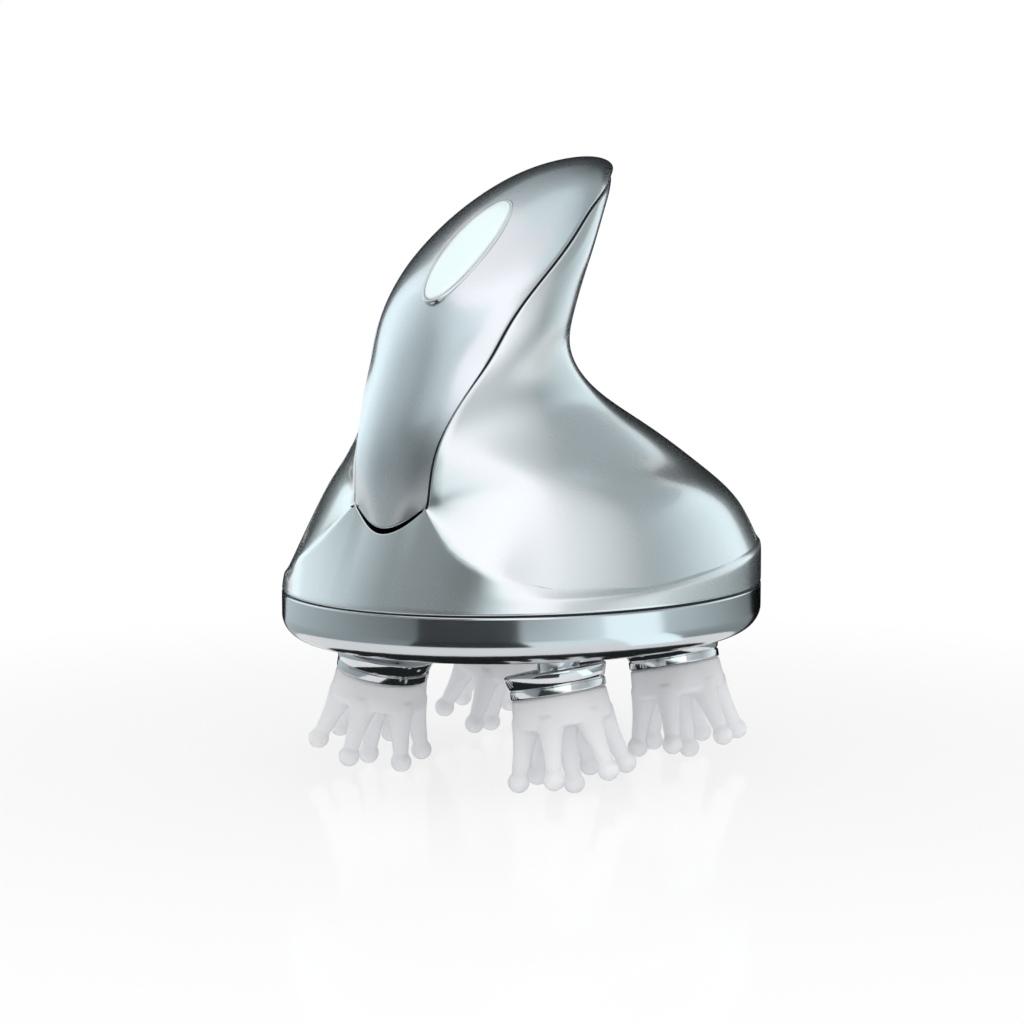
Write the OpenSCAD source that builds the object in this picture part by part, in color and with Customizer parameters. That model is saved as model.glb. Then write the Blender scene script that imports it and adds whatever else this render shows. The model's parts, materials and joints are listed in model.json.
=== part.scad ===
// Hand-held scalp massager: four tilted seven-finger silicone heads under an oval body,
// driven by one gearmotor, with a curled handle that carries the cover and power button.
// Origin: on the floor under the centre of the body. +X is the way the handle curls.

/* [Body] */
// Length of the body along X at the seam
body_length = 132; // [126:1:138]
// Width of the body along Y at the seam
body_width = 114; // [110:1:120]
// Height of the crest of the handle above the seam
handle_height = 107; // [103:1:112]
// Thickness of the housing, measured toward the middle of each section
shell_wall = 3; // [2.6:0.1:3.2]
// Gap between the handle cover and the body
cover_gap = 0.35; // [0.3:0.05:0.5]
// Thickness of the dark gasket in the seam
gasket_thickness = 0.5; // [0.4:0.1:0.8]

/* [Lower ring] */
// Height of the polished ring below the seam
ring_height = 11.6; // [11:0.2:13]
// Wall of the ring and of its inner flange
ring_wall = 2.4; // [2:0.1:2.8]
// Outer radius of the rolled lower edge
ring_round = 6; // [5.4:0.1:6.4]
// Reach of the flange inward from the outside of the ring
flange_reach = 13; // [12.6:0.1:14]
// Thickness of the base plate
plate_thickness = 3; // [2.6:0.1:3.4]

/* [Massage heads] */
// Distance of the head shafts from the middle plane
head_row_y = 26.7; // [26:0.1:27.6]
// Outward tilt of each head
head_tilt = 12; // [8:0.5:13]
// Diameter of the head holder
holder_diameter = 23.2; // [21:0.2:24]
// Number of fingers round a head
finger_count = 6; // [5:1:7]
// Distance from the holder to the middle of the outer finger tips
finger_length = 19.3; // [17:0.1:21]
// How much farther the centre finger reaches
centre_reach = 2.5; // [1:0.1:3.5]
// Radius of the circle of finger tips
tip_circle = 13.2; // [12:0.1:14]
// Diameter of a finger at its root
finger_root = 6.6; // [5.6:0.1:7]
// Diameter of a finger above its tip
finger_neck = 4.2; // [3.6:0.1:4.8]
// Diameter of the rounded tip
finger_tip = 5.2; // [4.6:0.1:5.8]
// Depth of the solid cup above the fingers
cup_depth = 7.4; // [6:0.1:9]
// Diameter of a head shaft
shaft_diameter = 5; // [4:0.1:5.4]

/* [Gear train] */
// Tooth module of all gears
gear_module = 1; // [0.98:0.01:1.02]
// Teeth of each row gear
row_teeth = 30; // [30:2:30]
// Teeth of each head gear
head_teeth = 28; // [28:2:28]
// Teeth of the drive gear
drive_teeth = 36; // [34:1:36]
// Teeth of the motor pinion
pinion_teeth = 14; // [13:1:15]
// Face width of the gears
gear_width = 5; // [4:0.1:5.2]
// Thinning of each tooth for play
backlash = 0.16; // [0.12:0.01:0.24]
// Diameter of the fixed row axles
axle_diameter = 4; // [3:0.1:4.4]

/* [Motor and cells] */
// Diameter of the gearbox of the motor
gearbox_diameter = 24; // [22:0.5:24]
// Length of the gearbox
gearbox_length = 10; // [8:0.5:11]
// Length of the motor can
can_length = 14; // [12:0.5:15]
// Diameter of a rechargeable cell
cell_diameter = 14.2; // [13.6:0.1:14.5]
// Length of a rechargeable cell
cell_length = 48; // [44:0.5:49]

/* [Power button] */
// Length of the oval button
button_length = 38.5; // [34:0.5:39]
// Width of the oval button
button_width = 12; // [11:0.5:13]
// Travel of the button
button_travel = 0.6; // [0.4:0.1:0.8]

/* [Hidden] */
$fn = 64;

half_l = body_length / 2;
half_w = body_width / 2;
oval = half_l / half_w;

// Running clearance of a shaft in its bore, and of a part slipped into another
fit = 0.05;
slip = 0.15;
// How far a cut runs past the face that it opens
past = 1;

// ---- levels, from the floor up
tip_r = finger_tip / 2;
tip_phase = 15;
outer_drop = finger_length * cos(head_tilt) + tip_circle * sin(head_tilt) * cos(tip_phase);
centre_drop = (finger_length + centre_reach) * cos(head_tilt);
head_z = max(outer_drop, centre_drop) + tip_r;
base_clearance = 10.4;
ring_z = head_z + base_clearance;
plate_z = ring_z + ring_wall;
plate_top = plate_z + plate_thickness;
ring_top = ring_z + ring_height;
seam_z = ring_top + gasket_thickness;
bush_flange = 1;
gear_z = plate_top + bush_flange;
gear_step = 0.3;
drive_z = gear_z + gear_width + gear_step;
drive_thinner = 1;
drive_width = gear_width - drive_thinner;
hub_rise = 1.2;
deck_room = 0.4;
deck_z = drive_z + drive_width + hub_rise + deck_room;
deck_t = 2.4;
deck_top = deck_z + deck_t;

// ---- plan of the gear train
train_x = 2.4;
row_r = gear_module * row_teeth / 2;
head_r = gear_module * head_teeth / 2;
row_y = row_r;
head_x = sqrt(pow(row_r + head_r, 2) - pow(head_row_y - row_y, 2));
drive_r = gear_module * drive_teeth / 2;
pinion_r = gear_module * pinion_teeth / 2;
motor_rise = 12;
motor_x = train_x + sqrt(pow(drive_r + pinion_r, 2) - pow(motor_rise, 2));
motor_y = motor_rise - row_y;
function head_at(sx, sy) = [train_x + sx * head_x, sy * head_row_y];
row_at = [[train_x, row_y], [train_x, -row_y]];

// ---- fasteners
screw_r = 1.2;
screw_head_r = 2.3;
screw_head_h = 1.4;
boss_r = 3.4;
boss_inset = 9.5;
boss_height = 5.4;
base_screw_top = seam_z + 3;
bore_room = 0.4;
rib_height = 2.8;
rib_t = 2.4;
cover_screw_reach = 7;
deck_margin = 16;
post_r = 3;
post_inset = 3.6;
boss_at = [[half_l - boss_inset * oval, 0], [boss_inset * oval - half_l, 0],
    [0, half_w - boss_inset], [0, boss_inset - half_w]];
deck_l = half_l - deck_margin;
deck_w = half_w - deck_margin;
post_at = [[deck_l - post_inset, 0], [post_inset - deck_l, 0],
    [0, deck_w - post_inset], [0, post_inset - deck_w]];

// ================================================================ housing surface
// The housing is one loft. Its rows run from the seam up to the tip of the handle, and its
// columns run from the front rail F (column 0) past the parting line P to the spine S.
// Lengths below are for a body of 132 x 114 and a handle of 107, and are scaled to the sizes.
ref_l = 66;
ref_w = 57;
ref_h = 107;
function scaled(p) = [p.x * half_l / ref_l, p.y * half_w / ref_w, seam_z + p.z * handle_height / ref_h];

front_cols = 18;
rear_cols = 6;
cols = front_cols + rear_cols;
skirt_rows = 5;
sub = 2;

// Smooth curve through [x, y] pairs that never overshoots them
function knot_slope(t, k) = let (n = len(t))
    k == 0 ? (t[1][1] - t[0][1]) / (t[1][0] - t[0][0])
    : k == n - 1 ? (t[k][1] - t[k - 1][1]) / (t[k][0] - t[k - 1][0])
    : let (h0 = t[k][0] - t[k - 1][0], h1 = t[k + 1][0] - t[k][0],
        d0 = (t[k][1] - t[k - 1][1]) / h0, d1 = (t[k + 1][1] - t[k][1]) / h1)
        d0 * d1 <= 0 ? 0 : 3 * (h0 + h1) / ((2 * h1 + h0) / d0 + (h1 + 2 * h0) / d1);
function curve(t, x) = let (
    i = max([for (k = [0:len(t) - 2]) if (k == 0 || t[k][0] <= x) k]),
    h = t[i + 1][0] - t[i][0], u = (x - t[i][0]) / h,
    m0 = knot_slope(t, i) * h, m1 = knot_slope(t, i + 1) * h)
    ((2 * u - 3) * u * u + 1) * t[i][1] + ((u - 2) * u + 1) * u * m0
    + (3 - 2 * u) * u * u * t[i + 1][1] + (u - 1) * u * u * m1;
function bezier(a, b, c, d, t) = pow(1 - t, 3) * a + 3 * pow(1 - t, 2) * t * b
    + 3 * (1 - t) * t * t * c + pow(t, 3) * d;
function toward(a, b, far) = a + (b - a) * min(1, far / max(0.001, norm(b - a)));

// Skirt: an upright lip with a rounded ledge under the cheeks, which gives way behind to a wall
// that leans in toward the foot of the handle. Heights are above the seam, by plan angle from
// the front; the lean is the share of the radius lost for each millimetre of height.
parting_angle = 168;
lip_height = [[0, 10.6], [50, 9.9], [95, 6], [118, 3.9], [150, 3.2], [168, 3], [180, 3]];
crease_height = [[0, 11.4], [50, 10.7], [95, 6.8], [118, 4.7], [135, 4.7], [147, 6.1],
    [157, 10.6], [163, 16.4], [168, 23.4]];
foot_height = 17.6;
ledge_share = [[0, 0.135], [118, 0.135], [135, 0.07], [150, 0], [180, 0]];
ledge_rate = 6;
wall_lean = [[0, 0], [95, 0], [118, 0.001], [135, 0.0025], [150, 0.004], [160, 0.0053], [168, 0.006],
    [180, 0.0068]];
function crease_z(a) = a <= parting_angle ? curve(crease_height, a)
    : foot_height + (curve(crease_height, parting_angle) - foot_height)
        * (1 - sin(90 * (a - parting_angle) / (180 - parting_angle)));
function skirt_share(a, z) = 1 - z * curve(wall_lean, a)
    - curve(ledge_share, a) * (1 - exp(-max(0, z - curve(lip_height, a)) / ledge_rate));
function skirt_point(a, z) = let (s = skirt_share(a, z)) [ref_l * s * cos(a), ref_w * s * sin(a), z];
cheek_angle = 95;
front_half = 10;
function col_angle(c) = c < front_half ? cheek_angle * c / front_half
    : c <= front_cols ? cheek_angle + (parting_angle - cheek_angle) * (c - front_half)
        / (front_cols - front_half)
    : parting_angle + (180 - parting_angle) * (c - front_cols) / rear_cols;
function skirt_row(j) = [for (c = [0:cols]) let (a = col_angle(c), lip = curve(lip_height, a))
    skirt_point(a, j == 0 ? 0 : lip + (crease_z(a) - lip) * (j - 1) / (skirt_rows - 1))];

// Cheeks: sections that swell from the crease toward the neck. Each row is the spine x and z,
// the front x and z, the widest x and half-width, the parting x and y, and the directions in
// which the cheek and the cover meet the parting line.
cheeks = [
    [-57.4, 25.4, 59.5, 18.9, 3, 49.8, -54.6, 10.6, 58, 62],
    [-56.4, 33.4, 46.5, 28.4, 4, 41.3, -53.6, 11.2, 50, 62],
    [-54.2, 41.4, 30.5, 37.9, -2, 33.3, -50.6, 12.6, 36, 60],
    [-50.6, 49.4, 12.5, 46.9, -11, 26.6, -45.6, 15, 32, 56],
    [-46.4, 57.4, 0.5, 54.9, -18.5, 24.6, -39.6, 17.4, 42, 50]];
// Grip: egg-shaped sections up to the tip. Each row is the spine x and z, the front x and z,
// the widest x and half-width, and the angle of the parting line.
grips = [
    [-42, 65.4, -1.5, 62.9, -21.5, 24.7, 129],
    [-36.6, 72.9, 1.5, 71.4, -17, 24.5, 122],
    [-28.6, 80.1, 5, 79.2, -11, 24, 115],
    [-19, 87.4, 9.2, 85.4, -4, 22.4, 109],
    [-8, 94.8, 14.2, 90.8, 4.2, 19.6, 103],
    [5, 101.4, 21, 95.8, 13.5, 15.6, 88],
    [17.5, 105.4, 28, 99.8, 22.5, 10.6, 65],
    [28, 106.8, 33.6, 102, 30.6, 6, 45],
    [34.4, 106.1, 36.4, 103.6, 35.4, 2.4, 30]];
tip_point = [37.3, 0, 104.5];
quarter = 0.5523;
function on_plane(p, xs, zs, xf, zf) = [p.x, p.y, zf + (zs - zf) * (p.x - xf) / (xs - xf)];
function cheek_row(k) = let (xs = k[0], xf = k[2], xw = k[4], b = k[5], part = [k[6], k[7]],
    wide = norm([xw, b] - part), flat = norm([xs, 0] - part),
    in = [cos(k[8]), sin(k[8])], out = [cos(k[9]), sin(k[9])])
    [for (c = [0:cols]) on_plane(
        c < front_half ? bezier([xf, 0], [xf, quarter * b], [xw + quarter * (xf - xw), b], [xw, b],
            c / front_half)
        : c < front_cols ? bezier([xw, b], [xw - 0.42 * wide, b], part + 0.34 * wide * in, part,
            (c - front_half) / (front_cols - front_half))
        : bezier(part, part - 0.36 * flat * out, [xs, part.y / 2], [xs, 0],
            (c - front_cols) / rear_cols), xs, k[1], xf, k[3])];
function grip_row(k) = [for (c = [0:cols]) let (xs = k[0], xf = k[2], xw = k[4],
    a = c <= front_cols ? k[6] * c / front_cols : k[6] + (180 - k[6]) * (c - front_cols) / rear_cols,
    reach = cos(a) > 0 ? xf - xw : xw - xs)
    on_plane([xw + reach * cos(a), k[5] * sin(a)], xs, k[1], xf, k[3])];
crease_row = [for (c = [0:cols]) skirt_point(col_angle(c), crease_z(col_angle(c)))];
keys = concat([crease_row], [for (k = cheeks) cheek_row(k)], [for (k = grips) grip_row(k)]);
function spline(a, b, c, d, t) = 0.5 * (2 * b + (c - a) * t + (2 * a - 5 * b + 4 * c - d) * t * t
    + (3 * b - a - 3 * c + d) * t * t * t);
function key(i, c) = i < 0 ? 2 * keys[0][c] - keys[1][c]
    : i >= len(keys) ? 2 * keys[i - 1][c] - keys[i - 2][c] : keys[i][c];
function upper_row(j) = let (i = floor(j / sub), t = j / sub - i)
    [for (c = [0:cols]) t == 0 ? key(i, c)
        : spline(key(i - 1, c), key(i, c), key(i + 1, c), key(i + 2, c), t)];
surface = concat([for (j = [0:skirt_rows - 1]) skirt_row(j)],
    [for (j = [0:sub * (len(keys) - 1)]) upper_row(j)]);
crease = skirt_rows;
top = len(surface) - 1;
// Column c runs from -cols to cols; negative columns are the right-hand side
function outer(i, c) = let (p = surface[i][abs(c)]) scaled([p.x, (c < 0 ? -1 : 1) * p.y, p.z]);
apex = scaled(tip_point);
// Point of the inner wall under an outer point: the wall is laid off toward the middle of the
// section, level in the skirt and along the section's own plane above it
hollow_share = 0.6;
function inward(i, p) = let (f = outer(i, 0), s = outer(i, cols), level = i <= crease ? 1
    : i < crease + sub ? 1 - (i - crease) / sub : 0,
    mid = (f + s) / 2, to = [mid.x, 0, level * p.z + (1 - level) * mid.z])
    p + (to - p) * min(hollow_share, shell_wall / norm(to - p));

// Outer points of the body: its edge stands back from the cover by the gap
function body_point(i, c) = let (p = outer(i, c), part = abs(c) == front_cols && i >= crease,
    side = part ? toward(p, outer(i, c - sign(c)), cover_gap) - p : [0, 0, 0],
    down = i == crease && abs(c) >= front_cols ? toward(p, outer(i - 1, c), cover_gap) - p : [0, 0, 0])
    p + side + down;

// Triangles between two rows of vertex numbers
function strip(a, b) = [for (k = [0:len(a) - 2]) each [[a[k], a[k + 1], b[k]], [b[k], a[k + 1], b[k + 1]]]];
function fan(a, v) = [for (k = [0:len(a) - 2]) [a[k], a[k + 1], v]];
function flip(faces) = [for (f = faces) [f[2], f[1], f[0]]];

module body_loft() {
    ring_n = 2 * cols;
    patch_n = 2 * front_cols + 1;
    lower = [for (i = [0:crease], c = [0:ring_n - 1]) body_point(i, c <= cols ? c : c - ring_n)];
    lower_i = [for (i = [0:crease], c = [0:ring_n - 1]) c <= cols ? c : c - ring_n];
    upper = [for (i = [crease + 1:top], c = [-front_cols:front_cols]) body_point(i, c)];
    shell = concat(lower, upper);
    rows_of = concat([for (i = [0:crease], c = [0:ring_n - 1]) i],
        [for (i = [crease + 1:top], c = [-front_cols:front_cols]) i]);
    lining = [for (v = [0:len(shell) - 1]) inward(rows_of[v], shell[v])];
    n = len(shell);
    last = 2 * n;
    body_apex = toward(apex, outer(top, 0), 2 * cover_gap);
    function ring(i, add) = [for (c = [0:ring_n]) i * ring_n + c % ring_n + add];
    function patch(i, add) = i == crease
        ? [for (c = [-front_cols:front_cols]) i * ring_n + (c + ring_n) % ring_n + add]
        : [for (c = [0:patch_n - 1]) (crease + 1) * ring_n + (i - crease - 1) * patch_n + c + add];
    function skin(add) = concat([for (i = [0:crease - 1]) each strip(ring(i, add), ring(i + 1, add))],
        [for (i = [crease:top - 1]) each strip(patch(i, add), patch(i + 1, add))],
        fan(patch(top, add), last));
    foot = [for (c = [front_cols:ring_n - front_cols]) crease * ring_n + c];
    left = [for (i = [crease:top]) patch(i, 0)[patch_n - 1]];
    right = [for (i = [crease:top]) patch(i, 0)[0]];
    polyhedron(concat(shell, lining, [body_apex]), concat(
        flip(skin(0)), skin(n),
        strip(ring(0, 0), ring(0, n)),
        flip(strip(foot, [for (v = foot) v + n])),
        flip(strip([for (v = left) v + n], left)), [[left[top - crease], left[top - crease] + n, last]],
        flip(strip(right, [for (v = right) v + n])), [[right[top - crease] + n, right[top - crease], last]]));
}

module cover_loft() {
    patch_n = 2 * rear_cols + 1;
    function at(c) = c <= cols ? c : c - 2 * cols;
    shell = [for (i = [crease:top], c = [front_cols:front_cols + patch_n - 1]) outer(i, at(c))];
    rows_of = [for (i = [crease:top], c = [1:patch_n]) i];
    lining = [for (v = [0:len(shell) - 1]) inward(rows_of[v], shell[v])];
    n = len(shell);
    last = 2 * n;
    function patch(i, add) = [for (c = [0:patch_n - 1]) (i - crease) * patch_n + c + add];
    function skin(add) = concat([for (i = [crease:top - 1]) each strip(patch(i, add), patch(i + 1, add))],
        fan(patch(top, add), last));
    left = [for (i = [crease:top]) patch(i, 0)[0]];
    right = [for (i = [crease:top]) patch(i, 0)[patch_n - 1]];
    polyhedron(concat(shell, lining, [apex]), concat(
        flip(skin(0)), skin(n),
        strip(patch(crease, 0), patch(crease, n)),
        flip(strip(left, [for (v = left) v + n])), [[left[top - crease] + n, left[top - crease], last]],
        flip(strip([for (v = right) v + n], right)), [[right[top - crease], right[top - crease] + n, last]]));
}

// ================================================================ housing parts
module at_each(places) for (p = places) translate([p.x, p.y, 0]) children();
module column(r, z0, z1) translate([0, 0, z0]) cylinder(r = r, h = z1 - z0);
module oval_disc(inset, z0, z1) translate([0, 0, z0]) linear_extrude(z1 - z0)
    scale([oval, 1]) circle(half_w - inset, $fn = 96);
module oval_band(inset, inner_inset, z0, z1) difference() {
    oval_disc(inset, z0, z1);
    oval_disc(inner_inset, z0 - past, z1 + past);
}

module body_shell() {
    boss_top = seam_z + boss_height;
    bore_top = base_screw_top + bore_room;
    color("silver") union() {
        body_loft();
        for (p = boss_at) difference() {
            union() {
                translate([p.x, p.y, plate_top]) cylinder(r = boss_r, h = boss_top - plate_top);
                rotate([0, 0, atan2(p.y, p.x)]) translate([norm(p), -rib_t / 2, seam_z])
                    cube([boss_inset * (p.y == 0 ? oval : 1) - shell_wall / 2, rib_t, rib_height]);
            }
            translate([p.x, p.y, 0]) column(screw_r + fit, plate_top - past, bore_top);
        }
    }
}

module handle_cover() {
    color("lightslategray") difference() {
        cover_loft();
        on_button() button_oval(housing_grow + fit, -button_cut, button_cut);
    }
}

button_cut = 8;
gasket_inset = 0.8;
module seam_gasket() {
    color("black") oval_band(gasket_inset, ring_wall, ring_top, seam_z);
}

// Section of the ring as [radius, height]: upright wall, rolled edge and flat flange
ring_sides = 96;
roll_steps = 8;
ring_section = let (centre = [half_w - ring_round, ring_z + ring_round], inner = ring_round - ring_wall)
    concat([[half_w - ring_wall, ring_top], [half_w, ring_top]],
        [for (k = [0:roll_steps]) centre + ring_round * [cos(90 * k / roll_steps), -sin(90 * k / roll_steps)]],
        [[half_w - flange_reach, ring_z], [half_w - flange_reach, plate_z]],
        [for (k = [roll_steps:-1:0]) centre + inner * [cos(90 * k / roll_steps), -sin(90 * k / roll_steps)]]);
module oval_sweep(section, sides) {
    n = len(section);
    polyhedron([for (k = [0:sides - 1], p = section) let (a = 360 * k / sides)
            [oval * p.x * cos(a), p.x * sin(a), p.y]],
        [for (k = [0:sides - 1], i = [0:n - 1]) let (next = (k + 1) % sides * n, j = (i + 1) % n)
            [k * n + i, next + i, next + j, k * n + j]]);
}

module lower_ring() {
    color("gainsboro") difference() {
        oval_sweep(ring_section, ring_sides);
        at_each(boss_at) {
            column(screw_r + slip, ring_z - past, plate_z + past);
            column(screw_head_r + slip, ring_z - past, ring_z + screw_head_h);
        }
    }
}

bush_r = 4.5;
bush_flange_r = 6;
seal_r = 6;
seal_depth = 2.2;
seal_lip = 0.2;
hub_wall = 1.6;
axle_seat = 0.8;
module base_plate() {
    color("dimgray") difference() {
        union() {
            oval_disc(ring_round + slip, plate_z, plate_top);
            for (sx = [-1, 1], sy = [-1, 1]) at_each([head_at(sx, sy)])
                column(seal_r + hub_wall, ring_z, plate_top);
        }
        for (sx = [-1, 1], sy = [-1, 1]) at_each([head_at(sx, sy)]) {
            column(bush_r + fit, ring_z - past, plate_top + past);
            column(seal_r + fit, ring_z - past, ring_z + seal_depth);
        }
        at_each(row_at) column(axle_diameter / 2 + fit, plate_z + axle_seat, plate_top + past);
        at_each(boss_at) column(screw_r + slip, plate_z - past, plate_top + past);
        at_each(post_at) {
            column(screw_r + slip, plate_z - past, plate_top + past);
            column(screw_head_r + slip, plate_z - past, plate_z + screw_head_h);
        }
        at_each(contact_at) {
            column(contact_r + fit, plate_z - past, plate_z + contact_head);
            column(contact_r / 2 + fit, plate_z - past, plate_top + past);
        }
    }
}

// Deck over the gears, with four posts down to the base plate and a slot for the charging lead
lead_slot = [4, 6];
lead_slot_x = post_inset - deck_l + 7;
output_room = 1.5;
module gear_cover() {
    shaft_bore = shaft_diameter / 2 + fit;
    color("whitesmoke") difference() {
        union() {
            oval_disc(deck_margin, deck_z, deck_top);
            at_each(post_at) column(post_r, plate_top, deck_z);
        }
        for (sx = [-1, 1], sy = [-1, 1]) at_each([head_at(sx, sy)])
            column(shaft_bore, deck_z - past, deck_top + past);
        at_each(row_at) column(axle_diameter / 2 + fit, deck_z - past, deck_top + past);
        at_each([[motor_x, motor_y]]) column(output_r + output_room, deck_z - past, deck_top + past);
        at_each(motor_screw_at) column(screw_r + fit, deck_z - past, deck_top + past);
        at_each(post_at) column(screw_r + fit, plate_top - past, plate_top + cover_screw_reach + bore_room);
        translate([lead_slot_x, -lead_slot.y / 2, deck_z - past])
            cube([lead_slot.x, lead_slot.y, deck_t + 2 * past]);
    }
}

module shaft_bushes() {
    color("goldenrod") for (sx = [-1, 1], sy = [-1, 1]) at_each([head_at(sx, sy)]) difference() {
        union() {
            column(bush_r, ring_z + seal_depth, plate_top);
            column(bush_flange_r, plate_top, gear_z);
        }
        column(shaft_diameter / 2 + fit, ring_z, gear_z + past);
    }
}

module shaft_seals() {
    color("black") for (sx = [-1, 1], sy = [-1, 1]) at_each([head_at(sx, sy)]) difference() {
        column(seal_r, ring_z + seal_lip, ring_z + seal_depth);
        column(shaft_diameter / 2 + fit, ring_z, plate_z);
    }
}

module row_axles() {
    color("silver") at_each(row_at) column(axle_diameter / 2, plate_z + axle_seat, deck_top);
}

module screw(z0, z1) {
    column(screw_r, z0, z1);
    column(screw_head_r, z0, z0 + screw_head_h);
}
module base_screws() color("gray") at_each(boss_at) screw(ring_z, base_screw_top);
module cover_screws() color("gray") at_each(post_at) screw(plate_z, plate_top + cover_screw_reach);

contact_r = 3;
contact_head = 1.2;
contact_tail = 0.4;
contact_y = 7.5;
contact_at = [[train_x, contact_y], [train_x, -contact_y]];
module charge_contacts() {
    color("gold") at_each(contact_at) {
        column(contact_r, plate_z, plate_z + contact_head);
        column(contact_r / 2, plate_z, plate_top + contact_tail);
    }
}

// ================================================================ gears
// Half the angle that a tooth spans at radius r, from the involute of a 20 degree rack
pressure_angle = 20;
addendum = 0.9;
dedendum = 1.15;
function involute(a) = tan(a) * 180 / PI - a;
function half_tooth(n, r) = let (pitch = gear_module * n / 2, base = pitch * cos(pressure_angle))
    90 / n - backlash / pitch * 90 / PI + involute(pressure_angle) - involute(acos(min(1, base / r)));
function gear_outline(n) = let (pitch = gear_module * n / 2, base = pitch * cos(pressure_angle),
    root = pitch - dedendum * gear_module, tip = pitch + addendum * gear_module,
    radii = [root, max(base, root + gear_module / 10), pitch, tip])
    [for (k = [0:n - 1]) each concat(
        [for (r = radii) let (a = 360 * k / n - half_tooth(n, max(base, r))) r * [cos(a), sin(a)]],
        [for (j = [3:-1:0]) let (r = radii[j], a = 360 * k / n + half_tooth(n, max(base, r)))
            r * [cos(a), sin(a)]])];
module gear(n, width, hub_r, hub_h, bore_r, turn) {
    difference() {
        union() {
            rotate([0, 0, turn]) linear_extrude(width) polygon(gear_outline(n));
            cylinder(r = hub_r, h = hub_h);
        }
        translate([0, 0, -past]) cylinder(r = bore_r, h = max(width, hub_h) + 2 * past);
    }
}
// Turn that sets a tooth gap of a gear of n2 teeth on a tooth of a gear of n1 teeth, where the
// line from the first to the second lies at angle a
function mesh_turn(n1, turn1, n2, a) = a + 180 - (0.5 - (a - turn1) * n1 / 360) * 360 / n2;
row_turn = 0;
left_turn = mesh_turn(row_teeth, row_turn, row_teeth, 90);
function head_turn(sx, sy) = mesh_turn(row_teeth, sy > 0 ? left_turn : row_turn, head_teeth,
    atan2(sy * (head_row_y - row_y), sx * head_x));
pinion_turn = mesh_turn(drive_teeth, row_turn, pinion_teeth, atan2(motor_rise, motor_x - train_x));

hub_r = 5;
module row_gear(sy, turn) {
    translate([train_x, sy * row_y, gear_z])
        gear(row_teeth, gear_width, hub_r, deck_z - deck_room - gear_z, axle_diameter / 2 + fit, turn);
}
module row_gear_right() color("ivory") row_gear(-1, row_turn);
module row_gear_left() color("ivory") row_gear(1, left_turn);
module drive_gear() {
    color("ivory") translate([train_x, -row_y, drive_z])
        gear(drive_teeth, drive_width, hub_r, drive_width, hub_r + fit, row_turn);
}
output_r = 2;
pinion_wall = 2;
module motor_pinion() {
    color("goldenrod") translate([motor_x, motor_y, drive_z])
        gear(pinion_teeth, drive_width, output_r + pinion_wall, drive_width, output_r + fit, pinion_turn);
}
module output_shaft() {
    color("silver") at_each([[motor_x, motor_y]]) column(output_r, drive_z, deck_top + output_seat);
}
module head_gear(sx, sy) {
    p = head_at(sx, sy);
    color("ivory") translate([p.x, p.y, gear_z])
        gear(head_teeth, gear_width, hub_r, gear_width, shaft_diameter / 2 + fit, head_turn(sx, sy));
}
clip_reach = 1.6;
clip_t = 0.7;
module shaft_clip(sx, sy) {
    color("gray") at_each([head_at(sx, sy)]) difference() {
        column(shaft_diameter / 2 + clip_reach, gear_z + gear_width, gear_z + gear_width + clip_t);
        column(shaft_diameter / 2 + fit, gear_z, gear_z + gear_width + clip_t + past);
    }
}

// ================================================================ heads
module tilted(sx, sy) {
    p = head_at(sx, sy);
    translate([p.x, p.y, head_z]) rotate([sy * head_tilt, 0, 0]) children();
}
holder_r = holder_diameter / 2;
holder_band = 2.2;
holder_rise = 3.6;
holder_flare = 0.8;
plug_r = 8.5;
plug_depth = 2.6;
neck_wall = 2.6;
neck_foot = 3;
neck_room = 0.3;
shaft_foot = head_z + 1;
foot_room = 0.1;
module head_shaft(sx, sy) {
    color("silver") at_each([head_at(sx, sy)]) column(shaft_diameter / 2, shaft_foot, deck_top);
}
module head_holder(sx, sy) {
    color("gainsboro") difference() {
        union() {
            tilted(sx, sy) {
                cylinder(r = holder_r, h = holder_band);
                translate([0, 0, holder_band])
                    cylinder(r1 = holder_r, r2 = holder_r + holder_flare, h = holder_rise);
                translate([0, 0, -plug_depth]) cylinder(r = plug_r, h = plug_depth + past);
            }
            at_each([head_at(sx, sy)])
                column(shaft_diameter / 2 + neck_wall, head_z + neck_foot, ring_z - neck_room);
        }
        at_each([head_at(sx, sy)]) column(shaft_diameter / 2 + fit, shaft_foot - foot_room, ring_z + past);
    }
}

// One finger: a tapered stem with a rounded tip
module finger(root_r, foot, reach) {
    lean = atan2(reach.x - foot.x, foot.z - reach.z);
    stem = norm(reach - foot);
    translate(foot) rotate([0, 180 - lean, 0]) cylinder(r1 = root_r, r2 = finger_neck / 2, h = stem);
    translate(reach) sphere(r = tip_r);
}
cup_inset = 0.1;
cup_flare = 0.5;
root_out = 0.6;
root_sunk = 1;
cup_floor = 1;
module massage_head(sx, sy) {
    cup_r = holder_r - cup_inset;
    root_circle = cup_r - finger_root / 2 + root_out;
    hollow_r = root_circle - finger_root / 2;
    hollow_h = cup_depth - plug_depth - cup_floor;
    foot_z = root_sunk - cup_depth;
    color("white") tilted(sx, sy) difference() {
        union() {
            translate([0, 0, -cup_depth]) cylinder(r1 = cup_r + cup_flare, r2 = cup_r, h = cup_depth);
            for (k = [0:finger_count - 1]) rotate([0, 0, tip_phase + 360 * k / finger_count])
                finger(finger_root / 2, [root_circle, 0, foot_z], [tip_circle, 0, -finger_length]);
            finger(finger_root / 2, [0, 0, foot_z], [0, 0, -finger_length - centre_reach]);
        }
        translate([0, 0, -plug_depth]) cylinder(r = plug_r + fit, h = plug_depth + past);
        translate([0, 0, -cup_depth - past]) difference() {
            cylinder(r = hollow_r, h = hollow_h);
            translate([0, 0, -past]) cylinder(r = finger_root / 2, h = hollow_h + 2 * past);
        }
    }
}

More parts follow.
